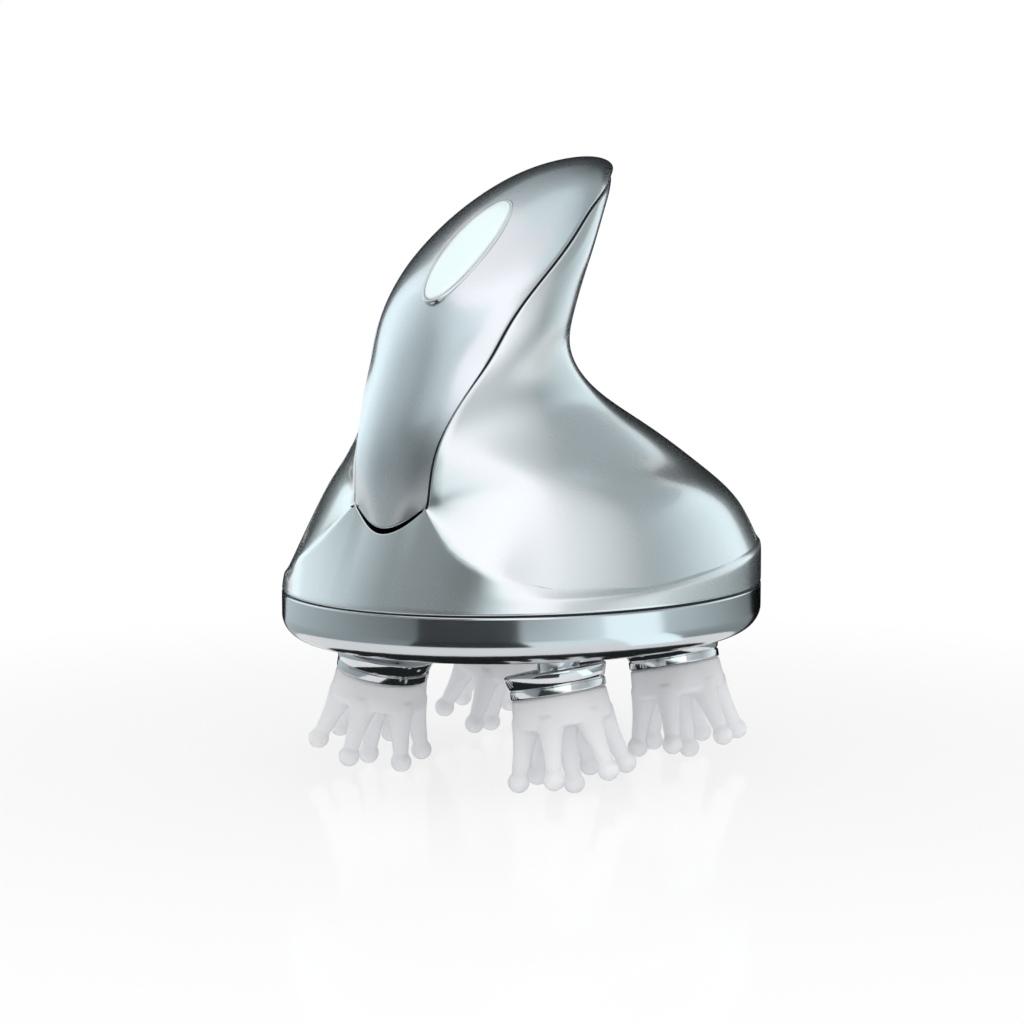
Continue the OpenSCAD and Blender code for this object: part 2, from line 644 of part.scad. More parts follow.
// ================================================================ motor and cells
motor_screw_r = 8.6;
motor_screw_depth = 4;
output_seat = 2;
seat_room = 0.2;
can_step = 1;
cap_height = 1.4;
motor_screw_at = [for (a = [-30, 60]) [motor_x, motor_y] + motor_screw_r * [cos(a), sin(a)]];
module gearmotor() {
    box_r = gearbox_diameter / 2;
    can_r = box_r - can_step;
    color("silver") difference() {
        at_each([[motor_x, motor_y]]) {
            column(box_r, deck_top, deck_top + gearbox_length);
            column(can_r, deck_top, deck_top + gearbox_length + can_length);
            column(can_r / 3, deck_top, deck_top + gearbox_length + can_length + cap_height);
        }
        at_each([[motor_x, motor_y]])
            column(output_r + fit, deck_top - past, deck_top + output_seat + seat_room);
        at_each(motor_screw_at)
            column(screw_r + fit, deck_top - past, deck_top + motor_screw_depth + bore_room);
    }
}
module motor_screws() color("gray") at_each(motor_screw_at)
    screw(deck_z - screw_head_h, deck_top + motor_screw_depth);

cell_x = -15;
cell_r = cell_diameter / 2;
cell_y = cell_r + 0.5;
contact_t = 0.5;
holder_floor = 3;
cell_z = deck_top + holder_floor + contact_t;
cell_top = cell_z + cell_length;
holder_cap = 2;
back_x = cell_x - cell_r - slip;
back_t = 1.8;
back_half = 9;
sleeve_wall = 1.4;
sleeve_height = 14;
standoff_r = 1.8;
standoff_y = 7;
tunnel = [4, 1.6];
module battery_holder() {
    sleeve_r = cell_r + sleeve_wall;
    color("dimgray") difference() {
        union() {
            for (s = [-1, 1]) translate([cell_x, s * cell_y, deck_top])
                cylinder(r = sleeve_r, h = holder_floor + sleeve_height);
            translate([cell_x - sleeve_r, -cell_y, deck_top]) cube([2 * sleeve_r, 2 * cell_y, holder_floor]);
            for (s = [-1, 1]) translate([cell_x, s * cell_y, cell_top + contact_t])
                cylinder(r = cell_r, h = holder_cap);
            translate([back_x - back_t, -back_half, cell_top + contact_t])
                cube([cell_x + cell_r - back_x + back_t, 2 * back_half, holder_cap]);
            translate([back_x - back_t, -back_half, deck_top])
                cube([back_t, 2 * back_half, cell_top + contact_t + holder_cap - deck_top]);
            for (y = [-standoff_y, standoff_y], share = [0.15, 0.85])
                translate([board_x, y, board_z + board_l * share])
                    rotate([0, 90, 0]) cylinder(r = standoff_r, h = back_x - board_x - back_t / 2);
        }
        for (s = [-1, 1]) translate([cell_x, s * cell_y, deck_top + holder_floor])
            cylinder(r = cell_r + slip, h = cell_top - deck_top - holder_floor + contact_t);
        translate([cell_x - 2 * sleeve_r, -tunnel.x / 2, deck_top - past])
            cube([4 * sleeve_r, tunnel.x, tunnel.y + past]);
    }
}
cell_cap = 1;
module cell(s) {
    color("seagreen") translate([cell_x, s * cell_y, 0]) {
        column(cell_r, cell_z, cell_top - cell_cap);
        column(cell_r / 3, cell_z, cell_top);
    }
}
cell_pad_r = cell_r - 2;
strap_w = 4;
module cell_contacts() {
    color("lightgray") {
        for (s = [-1, 1]) translate([cell_x, s * cell_y, 0]) {
            column(cell_pad_r, cell_z - contact_t, cell_z);
            column(cell_pad_r, cell_top, cell_top + contact_t);
        }
        translate([cell_x - strap_w / 2, -cell_y, cell_top]) cube([strap_w, 2 * cell_y, contact_t]);
    }
}

board_t = 1.6;
board_gap = 4;
board_w = 26;
board_l = 38;
board_x = back_x - back_t - board_gap;
board_z = deck_top + 6;
// Chips and socket on the board as [thickness, width, height, y, height on the board]
chips = [[1.6, 8, 8, -4, 15], [3, 6, 6, -10, 4], [2, 10, 4, -5, 32]];
capacitor_r = 2;
capacitor_length = 5;
capacitor_at = [[4, 8], [9, 8]];
module control_board() {
    face_x = board_x - board_t;
    color("darkgreen") {
        translate([face_x, -board_w / 2, board_z]) cube([board_t, board_w, board_l]);
        for (c = chips) translate([face_x - c[0], c[3], board_z + c[4]]) cube([c[0], c[1], c[2]]);
        for (p = capacitor_at) translate([face_x - capacitor_length, p.x, board_z + p.y])
            rotate([0, 90, 0]) cylinder(r = capacitor_r, h = capacitor_length);
    }
}

// ================================================================ power button
// The button lies on the spine, half-way between two of the grip's sections
button_row = crease + sub * (len(cheeks) + 3) + sub / 2;
spine_step = outer(button_row + sub, cols) - outer(button_row - sub, cols);
spine_slope = atan2(spine_step.z, spine_step.x);
button_shift = 0.4;
button_origin = outer(button_row, cols) - button_shift * [cos(spine_slope), 0, sin(spine_slope)];
module on_button() translate(button_origin) rotate([0, -spine_slope, 0]) children();
module button_oval(grow, z0, z1) translate([0, 0, z0]) linear_extrude(z1 - z0)
    polygon([for (a = [0:9:351]) [(button_length / 2 + grow) * cos(a), (button_width / 2 + grow) * sin(a)]]);
// Crowned top that follows the cover along and across
crown_along = 200;
crown_across = 50;
crown_turn = 13;
crown_steps = 20;
crown_depth = 18;
module button_crown(height) translate([0, 0, height - crown_along]) rotate([90, 0, 0])
    rotate([0, 0, 90 - crown_turn / 2]) rotate_extrude(angle = crown_turn, $fn = crown_steps * 360 / crown_turn)
        intersection() {
            translate([crown_along - crown_across, 0]) circle(crown_across, $fn = 240);
            translate([crown_along - crown_depth, -button_width])
                square([crown_depth + past, 2 * button_width]);
        }
button_gap = 0.25;
housing_wall = 0.8;
housing_grow = button_gap + housing_wall;
housing_floor = -13;
floor_t = 1.2;
ledge = -5.4;
ledge_in = -1.5;
seal_t = 0.6;
rim_crown = 0.15;
cap_crown = 0.5;
crest = 3;
ribbon_w = 6;
ribbon_slot_x = -6;
ribbon_slot = 1.6;
module button_housing() {
    color("gray") on_button() difference() {
        intersection() {
            button_oval(housing_grow, housing_floor, crest);
            button_crown(rim_crown);
        }
        button_oval(button_gap, ledge, crest + past);
        button_oval(ledge_in, housing_floor + floor_t, ledge + past);
        translate([ribbon_slot_x, -ribbon_w / 2 - slip, housing_floor - past])
            cube([ribbon_slot, ribbon_w + 2 * slip, floor_t + 2 * past]);
    }
}
board_top = housing_floor + floor_t + board_t;
module button_board() {
    color("darkgreen") on_button() difference() {
        button_oval(ledge_in - slip, housing_floor + floor_t, board_top);
        translate([ribbon_slot_x - slip, -ribbon_w / 2 - 2 * slip, housing_floor])
            cube([ribbon_slot + 2 * slip, ribbon_w + 4 * slip, floor_t + board_t + past]);
    }
}
switch_side = 6;
switch_cap_r = 1.7;
switch_cap_h = 1;
switch_room = 0.1;
module tact_switch() {
    cap_top = ledge - switch_room;
    color("dimgray") on_button() {
        translate([-switch_side / 2, -switch_side / 2, board_top])
            cube([switch_side, switch_side, cap_top - switch_cap_h - board_top]);
        translate([0, 0, board_top]) cylinder(r = switch_cap_r, h = cap_top - board_top);
    }
}
led_size = [3, 2, 1];
led_x = 9.5;
module status_leds() {
    color("white") on_button() for (x = [-led_x, led_x])
        translate([x - led_size.x / 2, -led_size.y / 2, board_top]) cube(led_size);
}
module button_seal() color("dimgray") on_button() button_oval(button_gap - slip, ledge, ledge + seal_t);
cap_room = 1.6;
cap_foot = ledge + seal_t + button_travel + cap_room;
stem_r = 2;
module power_button() {
    stem_foot = ledge + seal_t + switch_room;
    color("lightcyan") on_button() union() {
        intersection() {
            button_oval(0, cap_foot, crest);
            button_crown(cap_crown);
        }
        translate([0, 0, stem_foot]) cylinder(r = stem_r, h = cap_foot + switch_room - stem_foot);
    }
}

// ================================================================ flat cables
lead_t = 0.5;
board_face = board_x - board_t - lead_t / 2;
// Cable of width w that follows a route of [x, z] points
module flat_lead(route, w) rotate([90, 0, 0]) translate([0, 0, -w / 2]) linear_extrude(w) {
    for (k = [0:len(route) - 2]) let (step = route[k + 1] - route[k])
        translate(route[k]) rotate(atan2(step.y, step.x))
            translate([0, -lead_t / 2]) square([norm(step), lead_t]);
    for (k = [1:len(route) - 2]) translate(route[k]) circle(lead_t / 2, $fn = 16);
}
module ribbon_cable() {
    along = [cos(spine_slope), sin(spine_slope)];
    normal = [-along.y, along.x];
    start = [button_origin.x, button_origin.z] + (ribbon_slot_x + ribbon_slot / 2) * along
        + (housing_floor + floor_t) * normal;
    color("saddlebrown") flat_lead([start, start - 5 * normal, [board_x - 3.6, board_z + board_l + 8],
        [board_face, board_z + board_l], [board_face, board_z + board_l - 1.9]], ribbon_w);
}
motor_top = deck_top + gearbox_length + can_length;
motor_lead_w = 3;
module motor_lead() {
    tunnel_z = deck_top + tunnel.y - 0.6;
    wall_x = motor_x - gearbox_diameter / 2 - 1.5;
    color("saddlebrown") flat_lead([[motor_x - 5, motor_top + lead_t / 2], [wall_x, motor_top + lead_t / 2],
        [wall_x, tunnel_z], [board_x - board_t / 2, tunnel_z], [board_x - board_t / 2, board_z]], motor_lead_w);
}
charge_lead_w = 5;
rail_w = 4;
module charge_lead() {
    rail_foot = plate_top + contact_tail;
    rail_z = rail_foot + lead_t / 2;
    rise_x = lead_slot_x + lead_slot.x / 2;
    color("saddlebrown") {
        translate([train_x - rail_w / 2, -contact_y - contact_r / 2, rail_foot])
            cube([rail_w, 2 * contact_y + contact_r, lead_t]);
        flat_lead([[train_x, rail_z], [rise_x, rail_z], [rise_x, board_z - 2],
            [board_face, board_z], [board_face, board_z + 3]], charge_lead_w);
    }
}

body_shell();
handle_cover();
seam_gasket();
lower_ring();
base_plate();
gear_cover();
shaft_bushes();
shaft_seals();
row_axles();
base_screws();
cover_screws();
charge_contacts();
gearmotor();
motor_screws();
output_shaft();
motor_pinion();
drive_gear();
row_gear_right();
row_gear_left();
head_gear(1, -1);  // head_gear_fr
head_gear(1, 1);  // head_gear_fl
head_gear(-1, -1);  // head_gear_rr
head_gear(-1, 1);  // head_gear_rl
head_shaft(1, -1);  // head_shaft_fr
head_shaft(1, 1);  // head_shaft_fl
head_shaft(-1, -1);  // head_shaft_rr
head_shaft(-1, 1);  // head_shaft_rl
shaft_clip(1, -1);  // shaft_clip_fr
shaft_clip(1, 1);  // shaft_clip_fl
shaft_clip(-1, -1);  // shaft_clip_rr
shaft_clip(-1, 1);  // shaft_clip_rl
head_holder(1, -1);  // head_holder_fr
head_holder(1, 1);  // head_holder_fl
head_holder(-1, -1);  // head_holder_rr
head_holder(-1, 1);  // head_holder_rl
massage_head(1, -1);  // massage_head_fr
massage_head(1, 1);  // massage_head_fl
massage_head(-1, -1);  // massage_head_rr
massage_head(-1, 1);  // massage_head_rl
battery_holder();
cell(-1);  // cell_right
cell(1);  // cell_left
cell_contacts();
control_board();
ribbon_cable();
motor_lead();
charge_lead();
button_housing();
button_board();
tact_switch();
status_leds();
button_seal();
power_button();
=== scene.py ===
"""Looks of the electric scalp massager: satin silver body with a curled grip, polished ring,
pale power button and four tilted heads of soft silicone fingers, in a white studio."""

import json
import logging
import math
from collections.abc import Callable, Sequence
from dataclasses import dataclass, field
from enum import Enum
from typing import TypeVar

import bpy
from mathutils import Euler, Matrix, Vector


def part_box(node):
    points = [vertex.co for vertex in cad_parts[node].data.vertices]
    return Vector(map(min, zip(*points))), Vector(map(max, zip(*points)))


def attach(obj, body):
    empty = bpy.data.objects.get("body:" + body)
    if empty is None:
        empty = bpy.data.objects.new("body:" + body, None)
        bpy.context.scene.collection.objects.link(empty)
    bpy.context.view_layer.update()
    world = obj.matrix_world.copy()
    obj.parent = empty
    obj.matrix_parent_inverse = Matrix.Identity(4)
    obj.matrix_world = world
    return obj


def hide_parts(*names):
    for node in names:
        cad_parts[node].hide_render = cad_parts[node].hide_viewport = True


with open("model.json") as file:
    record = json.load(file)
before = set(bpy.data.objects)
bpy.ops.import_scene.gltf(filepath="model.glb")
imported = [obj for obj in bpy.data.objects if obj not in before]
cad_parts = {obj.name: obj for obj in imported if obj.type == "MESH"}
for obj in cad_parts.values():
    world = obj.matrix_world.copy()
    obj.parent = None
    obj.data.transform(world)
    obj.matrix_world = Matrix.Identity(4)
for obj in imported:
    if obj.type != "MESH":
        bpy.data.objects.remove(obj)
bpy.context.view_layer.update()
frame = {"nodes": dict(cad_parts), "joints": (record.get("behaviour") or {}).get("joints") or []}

log = logging.getLogger("massager")

MM = 0.001
# Sockets of the Mix node, by place because several share one name: the share, both colours and the result
MIX_SHARE, MIX_FROM, MIX_TO, MIX_RESULT = 0, 6, 7, 2
# Merging distances in metres: for turned pieces, for the fine rows of a loft, and for a thin strip
WELD_M, FINE_WELD_M, TIGHT_WELD_M = 1e-6, 5e-7, 1e-7
# Smallest size that is divided by, in millimetres
LEAST_MM = 0.01
# Angle in degrees over which an edge stays sharp on turned and lofted pieces
SHARP_ANGLE = 40.0


# ---------------------------------------------------------------- frame facts

def joint(name: str) -> dict[str, object]:
    """What the record says of a joint, by the joint's name."""
    return next(j for j in frame["joints"] if j["name"] == name)


def low(node: str) -> Vector:
    """Lowest corner of a CAD node, in metres."""
    return Vector(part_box(node)[0])


def high(node: str) -> Vector:
    """Highest corner of a CAD node, in metres."""
    return Vector(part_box(node)[1])


# ---------------------------------------------------------------- modelling by hand

def rest_all() -> None:
    """Leaves edit mode and deselects everything."""
    if bpy.context.object and bpy.context.object.mode != "OBJECT":
        bpy.ops.object.mode_set(mode="OBJECT")
    bpy.ops.object.select_all(action="DESELECT")


def take(piece: bpy.types.Object) -> bpy.types.Object:
    """Makes a piece the only selected and active object.

    Args:
        piece: The object to work on.

    Returns:
        The same object.
    """
    rest_all()
    piece.select_set(True)
    bpy.context.view_layer.objects.active = piece
    return piece


def named(name: str) -> bpy.types.Object:
    """Names the primitive that was just added, and its mesh.

    Args:
        name: The name for the new piece.

    Returns:
        The new piece.
    """
    piece = bpy.context.object
    piece.name = name
    piece.data.name = name
    return piece


def apply_place(piece: bpy.types.Object) -> None:
    """Moves a piece's place, turn and scale into its mesh."""
    take(piece)
    bpy.ops.object.transform_apply(location=True, rotation=True, scale=True)


def apply_modifier(piece: bpy.types.Object, kind: str, **settings: object) -> None:
    """Adds one modifier with its settings and applies it.

    Args:
        piece: The piece to change.
        kind: Blender's name for the modifier.
        settings: The modifier's own settings.
    """
    take(piece)
    modifier = piece.modifiers.new(kind.title(), kind)
    for key, value in settings.items():
        setattr(modifier, key, value)
    bpy.ops.object.modifier_apply(modifier=modifier.name)


def edit(piece: bpy.types.Object, *steps: Callable[[], object]) -> None:
    """Runs edit-mode operators on the whole mesh of a piece.

    Args:
        piece: The piece to edit.
        steps: Operators to run with all of the mesh selected.
    """
    take(piece)
    bpy.ops.object.mode_set(mode="EDIT")
    for step in steps:
        bpy.ops.mesh.select_all(action="SELECT")
        step()
    bpy.ops.object.mode_set(mode="OBJECT")


def weld(distance: float = WELD_M) -> Callable[[], object]:
    """An edit step that merges vertices that lie together."""
    return lambda: bpy.ops.mesh.remove_doubles(threshold=distance)


def outward() -> Callable[[], object]:
    """An edit step that turns all faces of a closed shape outward."""
    return lambda: bpy.ops.mesh.normals_make_consistent(inside=False)


def join(pieces: Sequence[bpy.types.Object], name: str) -> bpy.types.Object:
    """Joins pieces into the first one.

    Args:
        pieces: The pieces to join.
        name: The name of the result.

    Returns:
        The joined piece.
    """
    take(pieces[0])
    for piece in pieces[1:]:
        piece.select_set(True)
    bpy.ops.object.join()
    return named(name)


def copy_of(piece: bpy.types.Object, name: str) -> bpy.types.Object:
    """A copy of a piece with a mesh of its own.

    Args:
        piece: The piece to copy.
        name: The name of the copy.

    Returns:
        The copy.
    """
    twin = piece.copy()
    twin.data = piece.data.copy()
    bpy.context.collection.objects.link(twin)
    take(twin)
    return named(name)


def soft_shading(piece: bpy.types.Object, angle: float = SHARP_ANGLE) -> None:
    """Shades a piece smooth up to an edge angle in degrees."""
    take(piece)
    bpy.ops.object.shade_smooth_by_angle(angle=math.radians(angle))


def grid(name: str, columns: int, rows: int, place: Callable[[float, float], Vector]) -> bpy.types.Object:
    """A grid primitive whose vertices are laid on a surface.

    Args:
        name: The name of the piece.
        columns: Faces across.
        rows: Faces up.
        place: Gives the point for (across, up), each from 0 to 1.

    Returns:
        The sheet, open at its borders.
    """
    rest_all()
    bpy.ops.mesh.primitive_grid_add(x_subdivisions=columns, y_subdivisions=rows, size=1)
    sheet = named(name)
    for vertex in sheet.data.vertices:
        vertex.co = place(vertex.co.x + 0.5, vertex.co.y + 0.5)
    return sheet


def spun(name: str, section: Sequence[tuple[float, float]], steps: int,
         unit: float = MM) -> bpy.types.Object:
    """A section of (radius, height) points, spun round Z.

    Args:
        name: The name of the piece.
        section: The points in order; the ends lie on the axis or meet.
        steps: Faces round the turn.
        unit: Metres in a unit of the section.

    Returns:
        The closed turned piece, centred on the Z axis.
    """
    rest_all()
    bpy.ops.mesh.primitive_circle_add(vertices=len(section), radius=1.0)
    piece = named(name)
    for vertex, (radius, height) in zip(piece.data.vertices, section):
        vertex.co = (radius * unit, 0.0, height * unit)
    edit(piece,
         lambda: bpy.ops.mesh.spin(steps=steps, angle=2 * math.pi, center=(0, 0, 0), axis=(0, 0, 1)),
         weld(), outward())
    return piece


def arc(centre: tuple[float, float], radius: float, start: float, stop: float,
        steps: int = 8) -> list[tuple[float, float]]:
    """Points on an arc of a section.

    Args:
        centre: The arc's centre as (radius, height).
        radius: The arc's radius.
        start: First angle in degrees from the outward direction.
        stop: Last angle in degrees.
        steps: Chords along the arc.

    Returns:
        The points from start to stop.
    """
    angles = [math.radians(start + (stop - start) * k / steps) for k in range(steps + 1)]
    return [(centre[0] + radius * math.cos(a), centre[1] + radius * math.sin(a)) for a in angles]


class Slot(Enum):
    """Material slots of the record."""

    BODY_PAINT = "body_paint"
    COVER_PAINT = "cover_paint"
    PLATED = "plated"
    HOLDER_PLATED = "holder_plated"
    SILICONE = "silicone"
    BUTTON_CAP = "button_cap"
    BUTTON_FRAME = "button_frame"
    # This slot also carries the painted shade strips under the parting gap
    GASKET = "gasket"


def wear(piece: bpy.types.Object, body: str, finish: "Finish", slot: Slot,
         nodes: Sequence[str] = ()) -> None:
    """Finishes a new piece: gives it its material, its body and the node that it stands for.

    Args:
        piece: The finished mesh.
        body: The CAD body that carries it.
        finish: Its surface finish.
        slot: The material slot of the record; not used.
        nodes: CAD nodes that the piece stands for.
    """
    apply_place(piece)
    piece.data.materials.clear()
    piece.data.materials.append(finish.material())
    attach(piece, body)
    if nodes:
        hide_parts(*nodes)
    log.info("%s rides on %s, %d faces", piece.name, body, len(piece.data.polygons))


def dress(node: str, finish: "Finish") -> None:
    """Gives a CAD node that stays in view a finish.

    Args:
        node: The CAD node's name.
        finish: Its surface finish.
    """
    piece = frame["nodes"][node]
    if not piece.material_slots:
        piece.data.materials.append(finish.material())
    for slot in piece.material_slots:
        slot.material = finish.material()
    log.info("%s dressed in %s", node, finish.name)


# ---------------------------------------------------------------- finishes

def linear(colour: str) -> tuple[float, float, float, float]:
    """Turns an sRGB hex colour into the linear values that shaders read.

    Args:
        colour: A colour such as "#C8CCD0".

    Returns:
        Linear red, green and blue, with an alpha of 1.
    """
    parts = [int(colour[k:k + 2], 16) / 255 for k in (1, 3, 5)]
    flat = [p / 12.92 if p <= 0.04045 else ((p + 0.055) / 1.055) ** 2.4 for p in parts]
    return (*flat, 1.0)


def add_node(tree: bpy.types.NodeTree, kind: str, settings: dict[str | int, object] | None = None,
             links: dict[str | int, bpy.types.NodeSocket] | None = None) -> bpy.types.Node:
    """Adds a shader node with its settings and links.

    Args:
        tree: The node tree.
        kind: The node's type.
        settings: Values for sockets by name or place, or for attributes where no socket has the name.
        links: Sockets to link in, by input name or place.

    Returns:
        The new node.
    """
    node = tree.nodes.new(kind)
    for key, value in (settings or {}).items():
        if isinstance(key, int) or key in node.inputs:
            node.inputs[key].default_value = value
        else:
            setattr(node, key, value)
    for key, source in (links or {}).items():
        tree.links.new(source, node.inputs[key])
    return node


def empty_material(name: str) -> bpy.types.Material:
    """Makes a material with an empty node tree.

    Args:
        name: The material's name.

    Returns:
        The new material.
    """
    material = bpy.data.materials.new(name)
    material.use_nodes = True
    material.node_tree.nodes.clear()
    return material


@dataclass(frozen=True)
class Finish:
    """A plain moulded or turned surface, and the base of the other finishes.

    Args:
        name: What the surface is, and how it was made.
        colour: sRGB hex colour.
        roughness: Middle value of the surface's roughness.
        metallic: 1 for bare metal and metal flake.
        grain_mm: Size of the finest grain that shows.
        grain_depth_mm: Depth of that grain.
        colour_change: How much the colour drifts, from 0 to 1.
        roughness_change: How much the roughness drifts.
        shader: Further values of the Principled shader.
        drift_mm: Width of the patches in which colour and roughness drift.
        least_roughness: Smoothest value that the drift may reach.
    """

    name: str
    colour: str
    roughness: float = 0.45
    metallic: float = 0.0
    grain_mm: float = 0.35
    grain_depth_mm: float = 0.004
    colour_change: float = 0.06
    roughness_change: float = 0.06
    shader: dict[str, object] = field(default_factory=dict)
    drift_mm: float = 9.0
    least_roughness: float = 0.02

    def material(self) -> bpy.types.Material:
        """The finish's Blender material, made once."""
        known = bpy.data.materials.get(self.name)
        return known or self.build()

    def build(self) -> bpy.types.Material:
        """Makes the node tree: drifting colour and roughness, and a fine bump.

        Returns:
            The new material.
        """
        material = empty_material(self.name)
        tree = material.node_tree
        place = add_node(tree, "ShaderNodeTexCoord").outputs["Object"]
        drift = add_node(tree, "ShaderNodeTexNoise", {"Scale": 1 / (self.drift_mm * MM), "Detail": 3.0},
                         {"Vector": place}).outputs["Fac"]
        grain = self.grain(tree, place)
        full = linear(self.colour)
        faded = (*(c * (1 - self.colour_change) for c in full[:3]), 1.0)
        tint = add_node(tree, "ShaderNodeMix", {"data_type": "RGBA", MIX_FROM: faded, MIX_TO: full},
                        {MIX_SHARE: drift})
        rough = add_node(tree, "ShaderNodeMapRange",
                         {"To Min": max(self.least_roughness, self.roughness - self.roughness_change),
                          "To Max": self.roughness + self.roughness_change}, {"Value": drift})
        bump = add_node(tree, "ShaderNodeBump", {"Distance": self.grain_depth_mm * MM, "Strength": 1.0},
                        {"Height": grain})
        surface = add_node(tree, "ShaderNodeBsdfPrincipled", {"Metallic": self.metallic, **self.shader},
                           {"Base Color": tint.outputs[MIX_RESULT], "Roughness": rough.outputs["Result"],
                            "Normal": bump.outputs["Normal"]})
        add_node(tree, "ShaderNodeOutputMaterial", None, {"Surface": surface.outputs["BSDF"]})
        return material

    def grain(self, tree: bpy.types.NodeTree, place: bpy.types.NodeSocket) -> bpy.types.NodeSocket:
        """The height pattern of the surface: fine even grain.

        Args:
            tree: The material's node tree.
            place: The object coordinates.

        Returns:
            The height from 0 to 1.
        """
        noise = add_node(tree, "ShaderNodeTexNoise", {"Scale": 1 / (self.grain_mm * MM), "Detail": 2.0},
                         {"Vector": place})
        return noise.outputs["Fac"]


@dataclass(frozen=True)
class Turned(Finish):
    """Metal turned or ground on a lathe, with fine rings about Z.

    Args:
        ring_mm: Spacing of the rings, drawn as coarse as it needs to show.
        drawn_out: Size of the pattern along a ring, where its size across the rings is 1.
    """

    ring_mm: float = 0.25
    drawn_out: float = 0.02

    def grain(self, tree: bpy.types.NodeTree, place: bpy.types.NodeSocket) -> bpy.types.NodeSocket:
        """The height pattern of the surface: fine lines across Z.

        Args:
            tree: The material's node tree.
            place: The object coordinates.

        Returns:
            The height from 0 to 1.
        """
        stretch = add_node(tree, "ShaderNodeMapping", {"Scale": (self.drawn_out, self.drawn_out, 1.0)},
                           {"Vector": place})
        noise = add_node(tree, "ShaderNodeTexNoise", {"Scale": 1 / (self.ring_mm * MM), "Detail": 2.0},
                         {"Vector": stretch.outputs["Vector"]})
        return noise.outputs["Fac"]


# Clear lacquer over the silver: a thin satin film that sharpens the edges of what it mirrors
LACQUER = {"Coat Weight": 1.0, "Coat Roughness": 0.1}
# Silver lacquer on moulded ABS: metal flake that spreads the light into soft wide bands
SATIN_SILVER = Finish("satin_silver_lacquer", "#D6D9DB", 0.27, 0.96, 1.6, 0.00015, 0.02, 0.02, LACQUER)
# The same lacquer a shade bluer and darker on the separate cover
COVER_SILVER = Finish("cover_silver_lacquer", "#D0D4D8", 0.27, 0.96, 1.6, 0.00015, 0.02, 0.02, LACQUER)
# Bright plating on moulded ABS: nearly a mirror, with a slight waviness of the moulding under it
RING_PLATE = Finish("satin_chrome_plating", "#CDD0D3", 0.14, 1.0, 2.5, 0.0006, 0.01, 0.02)
CHROME_PLATE = Finish("bright_chrome_plating", "#DADCDE", 0.1, 1.0, 2.5, 0.001, 0.01, 0.02)
# Silicone rubber, moulded: milky, soft, with a little light passing through
SILICONE = Finish("moulded_white_silicone", "#F8F9FD", 0.38, 0.0, 0.4, 0.003, 0.01, 0.04,
                  {"IOR": 1.41, "Subsurface Weight": 0.6, "Subsurface Radius": (0.006, 0.006, 0.0065),
                   "Subsurface Scale": 1.0, "Transmission Weight": 0.25})
# Tinted clear ABS over a lamp, moulded: smooth, pale cyan
TINTED_CAP = Finish("tinted_translucent_cap", "#DCEEF0", 0.16, 0.0, 0.5, 0.001, 0.01, 0.02,
                    {"IOR": 1.5, "Subsurface Weight": 0.4, "Subsurface Radius": (0.003, 0.004, 0.004),
                     "Subsurface Scale": 1.0, "Coat Weight": 0.5})
# Rubber, moulded: matt and nearly black; the same dark colour also lies under the parting gap as painted
# shade
RUBBER_AND_GAP_SHADE = Finish("dark_rubber_and_painted_gap_shade", "#151517", 0.6, 0.0, 0.25, 0.006)
# ABS from a grained mould: even grey with a dull sheen
BASE_ABS = Finish("grey_moulded_abs", "#A4A7AB", 0.42, 0.0, 0.3, 0.008)
FRAME_ABS = Finish("pale_moulded_abs", "#D2D2CC", 0.5, 0.0, 0.3, 0.008)
# Acetal, moulded: off-white and slightly waxy
ACETAL = Finish("natural_acetal", "#ECE8DC", 0.36, 0.0, 0.5, 0.004)
# Brass and steel, turned or ground: fine rings that draw the highlights out
BRASS = Turned("turned_brass", "#C9A45C", 0.26, 1.0)
STEEL = Turned("ground_steel", "#B4B5B8", 0.24, 1.0)
# Steel, zinc plated: a greyer metal with a faint frost
SCREW_STEEL = Finish("zinc_plated_steel", "#A9ABB0", 0.32, 1.0, 0.2, 0.003)
# Gold plating on the contacts: warm and bright
GOLD = Finish("gold_plated_contact", "#D9B65A", 0.18, 1.0, 0.6, 0.002)
# PVC film, shrunk on: glossy green with slight ripples
CELL_WRAP = Finish("shrink_wrapped_cell", "#2C6E60", 0.28, 0.0, 1.2, 0.01)
# Epoxy mask, screen printed: green that drifts over the tracks below
SOLDER_MASK = Finish("solder_mask", "#1A5A38", 0.33, 0.0, 0.6, 0.006, 0.2)
# Polyimide film, laminated: clear amber over copper
POLYIMIDE = Finish("polyimide_film", "#B8742A", 0.26, 0.0, 0.8, 0.004)
# Nylon, moulded: dark with a fine grain
BLACK_MOULDING = Finish("black_moulded_plastic", "#1B1B1D", 0.4, 0.0, 0.3, 0.006)
# Epoxy, cast: clear, smooth and nearly white
LED_LENS = Finish("clear_epoxy_lens", "#F4F8FF", 0.1, 0.0, 0.6, 0.001, 0.01, 0.02,
                  {"Transmission Weight": 0.5})


# ---------------------------------------------------------------- the housing's surface

@dataclass(frozen=True)
class CheekSection:
    """A section between the crease and the neck, in millimetres above the seam.

    Args:
        spine: x and height at the back.
        front: x and height at the front.
        wide: x of the widest point and the half-width there.
        part: x and y where the cover meets the body.
        lean_in: Direction in which the cheek meets the parting line, in degrees.
        lean_out: Direction in which the cover leaves it.
    """

    spine: tuple[float, float]
    front: tuple[float, float]
    wide: tuple[float, float]
    part: tuple[float, float]
    lean_in: float
    lean_out: float


@dataclass(frozen=True)
class GripSection:
    """An egg-shaped section of the grip, in millimetres above the seam.

    Args:
        spine: x and height at the back.
        front: x and height at the front.
        wide: x of the widest point and the half-width there.
        part: Angle of the parting line from the front, in degrees.
    """

    spine: tuple[float, float]
    front: tuple[float, float]
    wide: tuple[float, float]
    part: float


# What a curve runs through: plain values or points
T = TypeVar("T", float, Vector)


